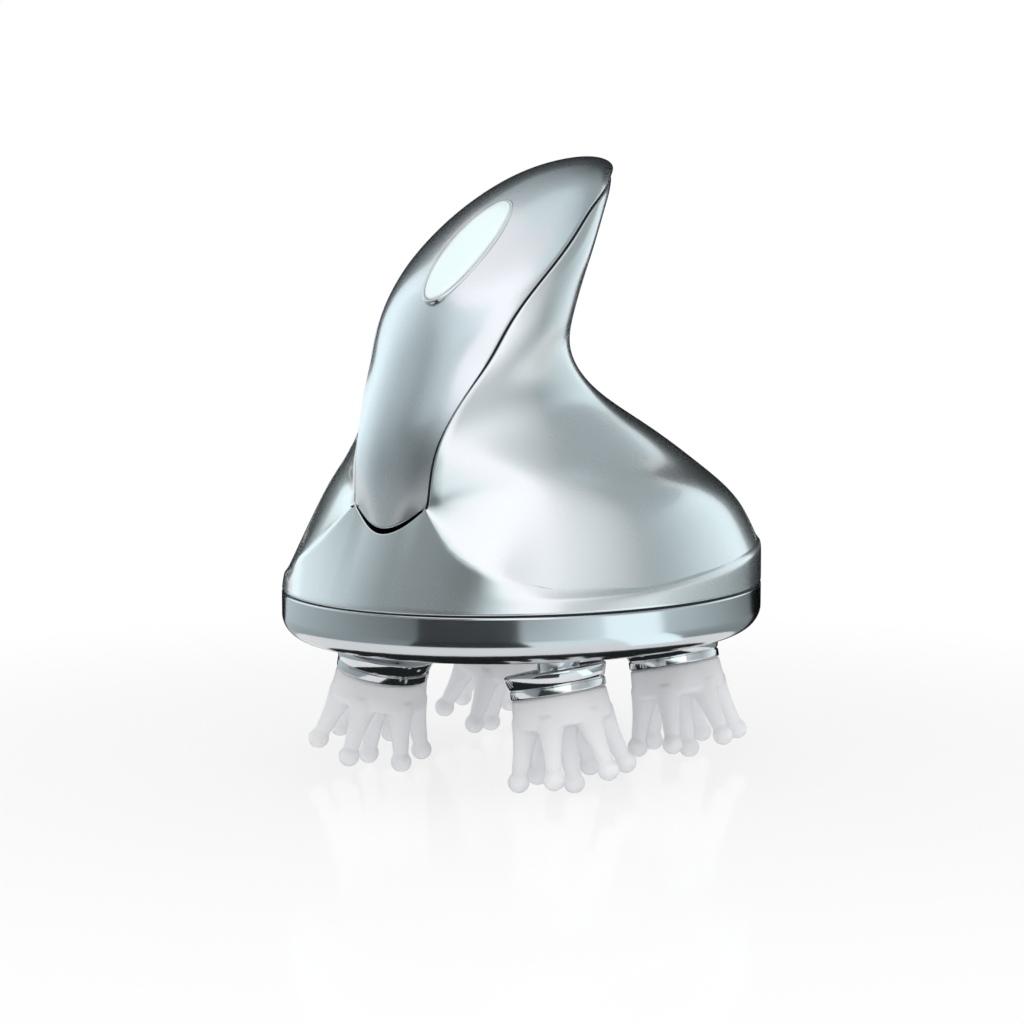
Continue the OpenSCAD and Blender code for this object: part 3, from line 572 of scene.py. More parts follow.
def hermite(start: T, end: T, leave: T, arrive: T, u: float) -> T:
    """Point at u of a cubic curve, from its ends and its slopes there."""
    return (((2 * u - 3) * u * u + 1) * start + ((u - 2) * u + 1) * u * leave
            + (3 - 2 * u) * u * u * end + (u - 1) * u * u * arrive)


def curve(knots: Sequence[tuple[float, float]], x: float) -> float:
    """A smooth curve through points that never overshoots them.

    Args:
        knots: The (x, y) points in order.
        x: Where to read the curve.

    Returns:
        The curve's y at x.
    """
    def slope(k: int) -> float:
        """Slope of the curve at a knot.

        Args:
            k: The knot's place.

        Returns:
            The slope, 0 at a turning point.
        """
        if k == 0 or k == len(knots) - 1:
            a, b = (knots[0], knots[1]) if k == 0 else (knots[-2], knots[-1])
            return (b[1] - a[1]) / (b[0] - a[0])
        before, after = knots[k][0] - knots[k - 1][0], knots[k + 1][0] - knots[k][0]
        first = (knots[k][1] - knots[k - 1][1]) / before
        second = (knots[k + 1][1] - knots[k][1]) / after
        if first * second <= 0:
            return 0.0
        return 3 * (before + after) / ((2 * after + before) / first + (after + 2 * before) / second)

    i = max(k for k in range(len(knots) - 1) if k == 0 or knots[k][0] <= x)
    span = knots[i + 1][0] - knots[i][0]
    return hermite(knots[i][1], knots[i + 1][1], slope(i) * span, slope(i + 1) * span,
                   (x - knots[i][0]) / span)


def bezier(a: Vector, b: Vector, c: Vector, d: Vector, t: float) -> Vector:
    """Point at t of a cubic curve from a to d with handles b and c."""
    s = 1 - t
    return s * s * s * a + 3 * s * s * t * b + 3 * s * t * t * c + t * t * t * d


def heading(degrees: float) -> Vector:
    """The plan direction at an angle in degrees, of length 1."""
    return Vector((math.cos(math.radians(degrees)), math.sin(math.radians(degrees))))


def ease_knots(points: Sequence[Vector]) -> list[Vector]:
    """Slopes of the smoothest curve through evenly counted points, free at its ends.

    Args:
        points: The points that the curve passes through.

    Returns:
        The curve's slope at each point.
    """
    count = len(points)
    upper, right = [0.5], [1.5 * (points[1] - points[0])]
    for k in range(1, count):
        last = k == count - 1
        pull = 3 * (points[k] - points[k - 1]) if last else 3 * (points[k + 1] - points[k - 1])
        middle = (2.0 if last else 4.0) - upper[k - 1]
        upper.append(1 / middle)
        right.append((pull - right[k - 1]) / middle)
    slopes = [right[-1]]
    for k in range(count - 2, -1, -1):
        slopes.append(right[k] - upper[k] * slopes[-1])
    return slopes[::-1]


@dataclass
class GripSurface:
    """The one surface that the body and the cover share, from the seam up to the tip.

    Across runs from 0 at the front rail to 1 at the parting line and 2 at the spine. Up runs
    from 0 at the crease through whole numbers at each section. Angles are in degrees from the
    front, in plan, and heights in millimetres above the seam.

    Args:
        half_length: Half the oval's length at the seam.
        half_width: Half its width.
        parting_angle: Where the parting line meets the crease.
        cheek_angle: Where the widest column meets the crease.
        cheek_share: Column value of the widest column.
        foot_height: Height of the cover's foot at the spine.
        ledge_rate: How fast the ledge above the lip draws in.
        lip_round: Rounding at the foot of the ledge.
        tip: x and height of the tip.
        lip: Height of the upright lip by angle.
        crease: Height of the crease by angle.
        ledge_share: How far the ledge draws in, by angle.
        wall_lean: How much the wall leans in for each millimetre of height, by angle.
        cheeks: Sections between the crease and the neck.
        grips: Sections of the grip.
        arch: Handle length that makes a quarter of an oval.
        pulls: Handle lengths behind the widest point, before the parting line and after it.
        soft_crease: Reach of the crease's rounding to each side.
        softness: Share of that reach by angle.
        probe: Small step for directions and sizes of steps.
        near_row: Row value at which the height of the first rows is measured.
        on_crease: Row values this small lie on the crease itself.
    """

    half_length: float = 66.0
    half_width: float = 57.0
    parting_angle: float = 168.0
    cheek_angle: float = 95.0
    cheek_share: float = 10 / 18
    foot_height: float = 17.6
    ledge_rate: float = 6.0
    lip_round: float = 0.5
    tip: tuple[float, float] = (37.6, 104.6)
    lip: Sequence[tuple[float, float]] = (
        (0, 10.6), (50, 9.9), (95, 6.0), (118, 3.9), (150, 3.2), (168, 3.0), (180, 3.0))
    crease: Sequence[tuple[float, float]] = (
        (0, 11.4), (50, 10.7), (95, 6.8), (118, 4.7), (133, 4.7), (140, 6.0), (147, 8.5), (154, 11.4),
        (159, 14.6), (163, 18.6), (168, 23.4))
    ledge_share: Sequence[tuple[float, float]] = (
        (0, 0.135), (118, 0.135), (135, 0.07), (150, 0.0), (180, 0.0))
    wall_lean: Sequence[tuple[float, float]] = (
        (0, 0.0), (95, 0.0), (118, 0.001), (135, 0.0025), (150, 0.004), (160, 0.0053), (168, 0.0063),
        (174, 0.0068), (180, 0.0068))
    cheeks: Sequence[CheekSection] = (
        CheekSection((-57.4, 25.4), (59.5, 18.9), (3.0, 49.8), (-54.6, 10.6), 58, 62),
        CheekSection((-56.4, 33.4), (46.5, 28.4), (4.0, 41.3), (-53.6, 11.2), 50, 62),
        CheekSection((-54.2, 41.4), (30.5, 37.9), (-2.0, 33.3), (-50.6, 12.6), 36, 60),
        CheekSection((-50.6, 49.4), (12.5, 46.9), (-11.0, 26.6), (-45.6, 15.0), 32, 56),
        CheekSection((-46.4, 57.4), (0.5, 54.9), (-18.5, 24.6), (-39.6, 17.4), 42, 50))
    grips: Sequence[GripSection] = (
        GripSection((-42.0, 65.4), (-1.5, 62.9), (-21.5, 24.7), 129),
        GripSection((-36.6, 72.9), (1.5, 71.4), (-17.0, 24.5), 122),
        GripSection((-28.6, 80.1), (5.0, 79.2), (-11.0, 24.0), 115),
        GripSection((-19.0, 87.4), (9.2, 85.4), (-4.0, 22.4), 109),
        GripSection((-8.0, 94.8), (14.2, 90.8), (4.2, 19.6), 103),
        GripSection((5.0, 101.4), (21.0, 95.8), (13.5, 15.6), 88),
        GripSection((17.5, 105.4), (28.0, 99.8), (22.5, 10.6), 65),
        GripSection((28.0, 106.8), (33.6, 102.0), (30.6, 6.0), 45),
        GripSection((34.4, 106.1), (36.4, 103.6), (35.4, 2.4), 30))
    arch: float = 0.5523
    pulls: tuple[float, float, float] = (0.42, 0.34, 0.36)
    soft_crease: float = 1.3
    softness: Sequence[tuple[float, float]] = (
        (0, 0.0), (110, 0.0), (126, 1.0), (160, 1.0), (168, 0.0), (180, 0.0))
    probe: float = 1e-3
    near_row: float = 0.02
    on_crease: float = 1e-9
    seam: float = field(default_factory=lambda: high("seam_gasket").z / MM)
    columns: dict[float, tuple[list[Vector], list[Vector]]] = field(default_factory=dict)
    legs: dict[float, tuple[float, float]] = field(default_factory=dict)

    def plan_angle(self, across: float) -> float:
        """Plan angle of a column where it crosses the crease.

        Args:
            across: Column from 0 to 2.

        Returns:
            The angle in degrees.
        """
        if across <= self.cheek_share:
            return self.cheek_angle * across / self.cheek_share
        if across <= 1:
            rest = (across - self.cheek_share) / (1 - self.cheek_share)
            return self.cheek_angle + (self.parting_angle - self.cheek_angle) * rest
        return self.parting_angle + (180 - self.parting_angle) * (across - 1)

    def crease_height(self, angle: float) -> float:
        """Height of the crease, or of the cover's foot behind the parting line.

        Args:
            angle: Plan angle from the front, in degrees.

        Returns:
            The height in millimetres above the seam.
        """
        if angle <= self.parting_angle:
            return curve(self.crease, angle)
        side = curve(self.crease, self.parting_angle)
        turn = math.pi / 2 * (angle - self.parting_angle) / (180 - self.parting_angle)
        return self.foot_height + (side - self.foot_height) * (1 - math.sin(turn))

    def skirt_height(self, angle: float) -> float:
        """Height of the crease where it is divided by, so never under a millimetre."""
        return max(self.crease_height(angle), 1.0)

    def skirt(self, angle: float, height: float) -> Vector:
        """A point of the skirt: an upright lip with a ledge, and behind a wall that leans in.

        Args:
            angle: Plan angle from the front, in degrees.
            height: Height above the seam, in millimetres.

        Returns:
            The point in millimetres above the seam.
        """
        over = height - curve(self.lip, min(angle, 180.0))
        eased = (over + math.hypot(over, self.lip_round)) / 2
        share = (1 - height * curve(self.wall_lean, angle)
                 - curve(self.ledge_share, angle) * (1 - math.exp(-eased / self.ledge_rate)))
        turn = math.radians(angle)
        return Vector((self.half_length * share * math.cos(turn),
                       self.half_width * share * math.sin(turn), height))

    def skirt_at(self, across: float, up: float) -> Vector:
        """A point of the skirt at a column, from the seam at 0 to the crease at 1."""
        angle = self.plan_angle(across)
        return self.skirt(angle, self.crease_height(angle) * up)

    def cheek_point(self, cut: CheekSection, across: float) -> Vector:
        """Point of a cheek section at a column.

        Args:
            cut: The section.
            across: Column from 0 to 2.

        Returns:
            The point in millimetres above the seam.
        """
        xs, xf, (xw, b), arch = cut.spine[0], cut.front[0], cut.wide, self.arch
        wide, part = Vector(cut.wide), Vector(cut.part)
        wide_pull, part_pull, cover_pull = self.pulls
        if across <= self.cheek_share:
            flat = bezier(Vector((xf, 0.0)), Vector((xf, arch * b)), Vector((xw + arch * (xf - xw), b)), wide,
                          across / self.cheek_share)
        elif across <= 1:
            reach = (wide - part).length
            flat = bezier(wide, wide - Vector((wide_pull * reach, 0.0)),
                          part + part_pull * reach * heading(cut.lean_in), part,
                          (across - self.cheek_share) / (1 - self.cheek_share))
        else:
            back = Vector((xs, 0.0))
            reach = (back - part).length
            flat = bezier(part, part - cover_pull * reach * heading(cut.lean_out),
                          Vector((xs, part.y / 2)), back, across - 1)
        return self.on_plane(cut, flat)

    def grip_point(self, cut: GripSection, across: float) -> Vector:
        """Point of a grip section at a column.

        Args:
            cut: The section.
            across: Column from 0 to 2.

        Returns:
            The point in millimetres above the seam.
        """
        turn = math.radians(cut.part * across if across <= 1
                            else cut.part + (180 - cut.part) * (across - 1))
        reach = cut.front[0] - cut.wide[0] if math.cos(turn) > 0 else cut.wide[0] - cut.spine[0]
        return self.on_plane(cut, Vector((cut.wide[0] + reach * math.cos(turn),
                                          cut.wide[1] * math.sin(turn))))

    def on_plane(self, cut: CheekSection | GripSection, flat: Vector) -> Vector:
        """Lifts a plan point onto the leaning plane of its section."""
        (xs, zs), (xf, zf) = cut.spine, cut.front
        return Vector((flat.x, flat.y, zf + (zs - zf) * (flat.x - xf) / (xs - xf)))

    def column(self, across: float) -> tuple[list[Vector], list[Vector]]:
        """The section points along a column and the curve's slopes there, worked out once.

        Args:
            across: Column from 0 to 2.

        Returns:
            The points in millimetres above the seam, and the slope at each.
        """
        key = round(across, 6)
        if key not in self.columns:
            points = [self.skirt_at(across, 1.0), *(self.cheek_point(c, across) for c in self.cheeks),
                      *(self.grip_point(c, across) for c in self.grips)]
            self.columns[key] = (points, ease_knots(points))
        return self.columns[key]

    @property
    def spans(self) -> int:
        """Number of spans between the crease and the last section."""
        return len(self.cheeks) + len(self.grips)

    def tip_line(self) -> tuple[Vector, Vector]:
        """The middle of the last section, and the tip."""
        front, back = self.column(0.0)[0][-1], self.column(2.0)[0][-1]
        return (front + back) / 2, Vector((self.tip[0], 0.0, self.tip[1]))

    def upper(self, across: float, up: float) -> Vector:
        """A point above the crease.

        Args:
            across: Column from 0 to 2.
            up: Row from 0 at the crease to spans + 1 at the tip.

        Returns:
            The point in millimetres above the seam.
        """
        points, slopes = self.column(across)
        if up >= self.spans:
            middle, end = self.tip_line()
            turn = min(1.0, up - self.spans) * math.pi / 2
            return middle + (points[-1] - middle) * math.cos(turn) + (end - middle) * math.sin(turn)
        i = int(up)
        return hermite(points[i], points[i + 1], slopes[i], slopes[i + 1], up - i)

    def crease_reach(self, across: float) -> tuple[float, float]:
        """How far the rounding of the crease reaches, worked out once.

        Args:
            across: Column from 0 to 1.

        Returns:
            The row values that it reaches below and above the crease.
        """
        key = round(across, 6)
        if key not in self.legs:
            angle = self.plan_angle(across)
            size = self.soft_crease * curve(self.softness, angle)
            step = (self.upper(across, self.near_row) - self.upper(across, 0.0)).length / self.near_row
            self.legs[key] = (size / self.skirt_height(angle), size / step)
        return self.legs[key]

    def sharp(self, across: float, up: float) -> Vector:
        """A point of the surface as it is before the crease is rounded."""
        return self.skirt_at(across, 1 + up) if up < 0 else self.upper(across, up)

    def outer(self, across: float, up: float) -> Vector:
        """A point of the outer surface, with the crease rounded.

        Args:
            across: Column from 0 to 2.
            up: Row, from -1 at the seam through 0 at the crease.

        Returns:
            The point in millimetres above the seam.
        """
        below, above = self.crease_reach(across) if across <= 1.0 else (0.0, 0.0)
        if not (below > 0 and -below < up < above):
            return self.sharp(across, up)
        t = (up + below) / (above + below)
        return ((1 - t) ** 2 * self.sharp(across, -below) + 2 * t * (1 - t) * self.sharp(across, 0.0)
                + t * t * self.sharp(across, above))

    def outward(self, across: float, up: float) -> Vector:
        """The outward direction at a point of the surface.

        Args:
            across: Column from 0 to 2.
            up: Row, from -1 at the seam to spans + 1 at the tip.

        Returns:
            The direction, of length 1.
        """
        h = self.probe
        if up > self.spans + 1 - h:
            middle, end = self.tip_line()
            return (end - middle).normalized()
        if abs(up) < self.on_crease and across <= 1.0:
            return (self.outward(across, -2 * h) + self.outward(across, 2 * h)).normalized()
        if across < h or across > 2 - h:
            along = Vector((0.0, 1.0 if across < h else -1.0, 0.0))
        else:
            along = self.outer(across + h, up) - self.outer(across - h, up)
        above, below = up + (0 if -h < up < 0 else h), up - (0 if 0 <= up < h else h)
        return along.cross(self.outer(across, above) - self.outer(across, below)).normalized()

    def inside(self, across: float, up: float, depth: float) -> Vector:
        """The point at a depth under the surface, in millimetres above the seam."""
        return self.outer(across, up) - self.outward(across, up) * depth

    def step_across(self, across: float, up: float) -> float:
        """Millimetres of surface for a whole step of the column value, never quite 0."""
        h = self.probe
        return max((self.outer(across - h, up) - self.outer(across - 3 * h, up)).length / (2 * h), LEAST_MM)

    def step_up(self, across: float, up: float) -> float:
        """Millimetres of surface for a whole step of the row value."""
        h = self.probe
        return (self.outer(across, up + h) - self.outer(across, up + 2 * h)).length / h

    def in_metres(self, point: Vector, side: float) -> Vector:
        """Mirrors a point to a side and lifts it from the seam into the frame."""
        return Vector((point.x, point.y * side, point.z + self.seam)) * MM


# ---------------------------------------------------------------- sub-assemblies

@dataclass
class Housing:
    """Body shell and handle cover, lacquered silver, with a dark strip of painted shade in the gap between
    them.

    Args:
        surface: The outer surface that both follow.
        gap_mm: Width of the parting gap.
        wall_mm: Thickness of the walls.
        rim_mm: Rounding of the edges beside the gap.
        rim_steps: Chords of that rounding.
        full_rim_mm: Half-width from which a sheet has its whole gap and rounding.
        gap_shade_mm: Half-width of the dark strip of painted shade in the gap.
        gap_shade_share: Largest half-width of that strip as a share of a column step.
        gap_shade_depth_mm: Depth of the strip under the surface.
        gap_shade_wall_mm: Thickness of the strip.
        gap_shade_start: Row value where the strip starts.
        front_columns: Faces from the front rail to the parting line.
        cover_columns: Faces from the parting line to the spine.
        skirt_rows: Faces up the skirt.
        rows_per_span: Faces between two sections.
        tip_rows: Faces over the round tip.
        thin_row: Row value of the thin faces that hold the crease.
        last_row: Highest row value, counted from the last section, at which a column step is measured.
        under_crease: Distance that the skirt keeps below the crease, as a row value.
        foot_column: Column at which the rows of the cover's foot are measured.
    """

    surface: GripSurface
    gap_mm: float = 0.85
    wall_mm: float = 1.5
    rim_mm: float = 0.4
    rim_steps: int = 3
    full_rim_mm: float = 8.0
    gap_shade_mm: float = 1.1
    gap_shade_share: float = 0.25
    gap_shade_depth_mm: float = 1.0
    gap_shade_wall_mm: float = 0.5
    gap_shade_start: float = 0.05
    front_columns: int = 60
    cover_columns: int = 24
    skirt_rows: int = 20
    rows_per_span: int = 10
    tip_rows: int = 10
    thin_row: float = 0.008
    last_row: float = 0.9
    under_crease: float = 1e-6
    foot_column: float = 1.5

    def roll(self, size: float) -> list[tuple[float, float]]:
        """The rounded edge of a wall.

        Args:
            size: Radius of the edge, in millimetres.

        Returns:
            Distance in from the edge and depth, from the outer surface round to the inner wall.
        """
        turns = [math.pi / 2 * k / self.rim_steps for k in range(self.rim_steps + 1)]
        return [(size * (1 - math.sin(a)), size * (1 - math.cos(a))) for a in turns] + [(0.0, self.wall_mm)]

    def loop(self, middle: float, edge: float, half: int, up: float) -> list[Vector]:
        """One closed row of a sheet: outer wall, rounded edge, inner wall, rounded edge.

        Args:
            middle: Column value in the middle of the sheet.
            edge: Column value at both edges.
            half: Faces from the middle to an edge.
            up: The row value.

        Returns:
            The vertices of the row, in metres.
        """
        face = self.surface
        way = 1.0 if edge > middle else -1.0
        step = face.step_across(edge, min(up, face.spans + self.last_row))
        fit = min(1.0, abs(edge - middle) * step / self.full_rim_mm)
        rim = [(edge - way * fit * (d + self.gap_mm / 2) / step,
                depth * fit if depth < self.wall_mm else depth) for d, depth in self.roll(self.rim_mm)]
        first, last = rim[0][0], rim[-1][0]
        out = [(middle + (first - middle) * k / half, 0.0) for k in range(half)] + rim
        back = [(middle + (last - middle) * k / half, self.wall_mm) for k in range(half - 1, 0, -1)]
        near = [face.in_metres(face.inside(c, up, d), 1.0) for c, d in out + back]
        far = [face.in_metres(face.inside(c, up, d), -1.0) for c, d in (out + back)[:0:-1]]
        return near + [face.in_metres(face.inside(middle, up, self.wall_mm), 1.0)] + far

    def lofted(self, name: str, loops: Sequence[Sequence[Vector]]) -> bpy.types.Object:
        """Lays a grid on closed rows that follow each other.

        Args:
            name: The name of the piece.
            loops: The vertices of each row, in metres.

        Returns:
            The tube through the rows, open at its first row and closed where a row shrinks to a line.
        """
        width, height = len(loops[0]), len(loops) - 1
        sheet = grid(name, width, height, lambda u, v: loops[round(v * height)][round(u * width) % width])
        edit(sheet, weld(FINE_WELD_M))
        return sheet

    def rows(self, first: float) -> list[float]:
        """Row values from the first one to the tip, with a thin row after the first."""
        spans, fine = self.surface.spans, self.rows_per_span
        return ([first, first + self.thin_row] + [k / fine for k in range(1, spans * fine)]
                + [spans + k / self.tip_rows for k in range(self.tip_rows + 1)])

    def close_foot(self, shell: bpy.types.Object) -> None:
        """Caps the open first row of a sheet between its outer and inner wall.

        Args:
            shell: The sheet.
        """
        take(shell)
        bpy.ops.object.mode_set(mode="EDIT")
        bpy.ops.mesh.select_all(action="DESELECT")
        bpy.ops.mesh.select_non_manifold()
        bpy.ops.mesh.edge_face_add()
        bpy.ops.object.mode_set(mode="OBJECT")

    def skirt_section(self, across: float, side: float) -> list[Vector]:
        """The closed section of the skirt at a column.

        Args:
            across: Column from 0 to 2.
            side: 1 on the left and -1 on the right.

        Returns:
            The vertices in metres: foot, outer wall, top edge and inner wall.
        """
        face, count = self.surface, self.skirt_rows
        tall = face.skirt_height(face.plan_angle(across))
        behind = min(1.0, max(0.0, (across - 1) * self.cover_columns))
        top = (self.gap_mm / 2 * behind) / tall
        rim = [(d / tall, depth) for d, depth in self.roll(self.rim_mm)]
        crown = [(-top - d * behind, depth * behind if depth < self.wall_mm else depth) for d, depth in rim]
        foot = [(-1 + d, depth) for d, depth in rim[::-1]]
        first, last, inner = foot[-1][0], crown[0][0], crown[-1][0]
        out = [(first + (last - first) * k / count, 0.0) for k in range(1, count)]
        out.append((last - self.thin_row, 0.0))
        back = [(inner + (-1 - inner) * k / count, self.wall_mm) for k in range(1, count)]
        return [face.in_metres(face.inside(across, min(up, -self.under_crease), depth), side)
                for up, depth in foot + out + crown + back]

    def skirt(self) -> bpy.types.Object:
        """The flared ring between the seam and the crease, with a rounded edge behind.

        Returns:
            The closed ring.
        """
        columns = [k / self.front_columns for k in range(self.front_columns)]
        columns += [1 + k / self.cover_columns for k in range(self.cover_columns + 1)]
        loops = [self.skirt_section(c, 1.0) for c in columns]
        loops += [self.skirt_section(c, -1.0) for c in columns[-2:0:-1]]
        width, height = len(loops[0]), len(loops)
        ring = grid("skirt", width, height,
                    lambda u, v: loops[round(v * height) % height][round(u * width) % width])
        edit(ring, weld(FINE_WELD_M), outward())
        return ring

    def body(self) -> bpy.types.Object:
        """The shell from the seam to the tip, in front of the cover.

        Returns:
            The finished mesh.
        """
        front = self.lofted("front", [self.loop(0.0, 1.0, self.front_columns, up) for up in self.rows(0.0)])
        self.close_foot(front)
        edit(front, outward())
        return join([front, self.skirt()], "body_shell_lacquered")

    def cover(self) -> bpy.types.Object:
        """The cover along the spine of the grip, with its foot rounded like its sides.

        Returns:
            The finished mesh.
        """
        tall = self.surface.step_up(self.foot_column, 0.0)
        rows = [((d + self.gap_mm / 2) / tall, depth) for d, depth in self.roll(self.rim_mm)[-2::-1]]
        rows += [(up, 0.0) for up in self.rows(0.0) if up > rows[-1][0] + self.thin_row]
        half = self.cover_columns + self.rim_steps + 1
        sheets = []
        for up, sink in rows:
            row = self.loop(2.0, 1.0, self.cover_columns, up)
            if sink:
                row = [point - self.sink_way(k, up, row) * sink * MM
                       if k < half or k > len(row) - half else point for k, point in enumerate(row)]
            sheets.append(row)
        shell = self.lofted("handle_cover_lacquered", sheets)
        self.close_foot(shell)
        edit(shell, outward())
        return shell

    def sink_way(self, k: int, up: float, row: Sequence[Vector]) -> Vector:
        """Outward direction at a vertex of a row of the cover.

        Args:
            k: The vertex's place in the row.
            up: The row value.
            row: The vertices of the row.

        Returns:
            The direction on the vertex's own side, of length 1.
        """
        across = 2.0 - min(k, len(row) - k) / self.cover_columns
        normal = self.surface.outward(min(max(across, 1.0), 2.0), up)
        return Vector((normal.x, normal.y * (1.0 if k <= len(row) / 2 else -1.0), normal.z))

    def lip(self, side: float) -> bpy.types.Object:
        """A dark strip of painted shade under the parting line on one side, from the foot nearly to the tip.

        Args:
            side: 1 on the left and -1 on the right.

        Returns:
            The closed strip.
        """
        face = self.surface
        rows = self.rows(self.gap_shade_start)[:-self.tip_rows]

        def place(u: float, v: float) -> Vector:
            """Lays a vertex of the strip's closed section.

            Args:
                u: From 0 to 1 round its four corners.
                v: From 0 to 1 up the strip.

            Returns:
                The point in metres.
            """
            up = rows[round(v * (len(rows) - 1))]
            step = face.step_across(1.0, up)
            half = min(self.gap_shade_mm, self.gap_shade_share * step) / step
            corner = round(u * 4) % 4
            depth = self.gap_shade_depth_mm + (0.0 if corner in (0, 1) else self.gap_shade_wall_mm)
            return face.in_metres(face.inside(1.0 + (half if corner in (1, 2) else -half), up, depth), side)

        # The strip is painted shade: a dark sheet laid under the parting gap so that the gap reads dark
        strip = grid("lip", 4, len(rows) - 1, place)
        edit(strip, weld(TIGHT_WELD_M), lambda: bpy.ops.mesh.fill_holes(sides=4), outward())
        return strip

    def build(self) -> None:
        """Makes both shells and the painted shade strips in the parting gap, and dresses the gasket."""
        body = self.body()
        soft_shading(body)
        wear(body, "housing", SATIN_SILVER, Slot.BODY_PAINT, ["body_shell"])
        cover = self.cover()
        soft_shading(cover)
        wear(cover, "housing", COVER_SILVER, Slot.COVER_PAINT, ["handle_cover"])
        # Painted shade: dark strips under the parting gap, dressed in the dark rubber finish
        gap_shade_strips = join([self.lip(1.0), self.lip(-1.0)], "parting_gap_shade")
        wear(gap_shade_strips, "housing", RUBBER_AND_GAP_SHADE, Slot.GASKET)
        dress("seam_gasket", RUBBER_AND_GAP_SHADE)


@dataclass
class LowerRing:
    """The plated ring below the seam, its base plate and the screws in them."""

    wall_mm: float = 2.4
    roll_mm: float = 6.0
    flange_mm: float = 13.0
    edge_mm: float = 0.4
    support: float = 0.4
    sides: int = 192

    def section(self) -> list[tuple[float, float]]:
        """The ring's section: wall, rolled edge and flange.

        Returns:
            The points as (radius, height) in metres.
        """
        outer, bottom, top = high("lower_ring").y, low("lower_ring").z, high("lower_ring").z
        wall, roll, edge = self.wall_mm * MM, self.roll_mm * MM, self.edge_mm * MM
        centre = (outer - roll, bottom + roll)
        points = [(outer - wall, top)]
        points += arc((outer - edge, top - edge), edge, 90, 0, 4)
        points += [(outer, top - (1 + self.support) * edge), (outer, centre[1] + self.support * edge)]
        points += arc(centre, roll, 0, -90, 20)
        points += [(outer - self.flange_mm * MM, bottom), (outer - self.flange_mm * MM, bottom + wall)]
        points += arc(centre, roll - wall, -90, 0, 10)
        return points

    def build(self) -> None:
        """Makes the ring and dresses what closes the body from below."""
        ring = spun("lower_ring_plated", self.section(), self.sides, unit=1.0)
        take(ring)
        bpy.ops.transform.resize(value=(high("lower_ring").x / high("lower_ring").y, 1, 1))
        soft_shading(ring)
        wear(ring, "housing", RING_PLATE, Slot.PLATED, ["lower_ring"])
        dress("base_plate", BASE_ABS)
        for node in ("base_screws", "cover_screws"):
            dress(node, SCREW_STEEL)
        dress("charge_contacts", GOLD)


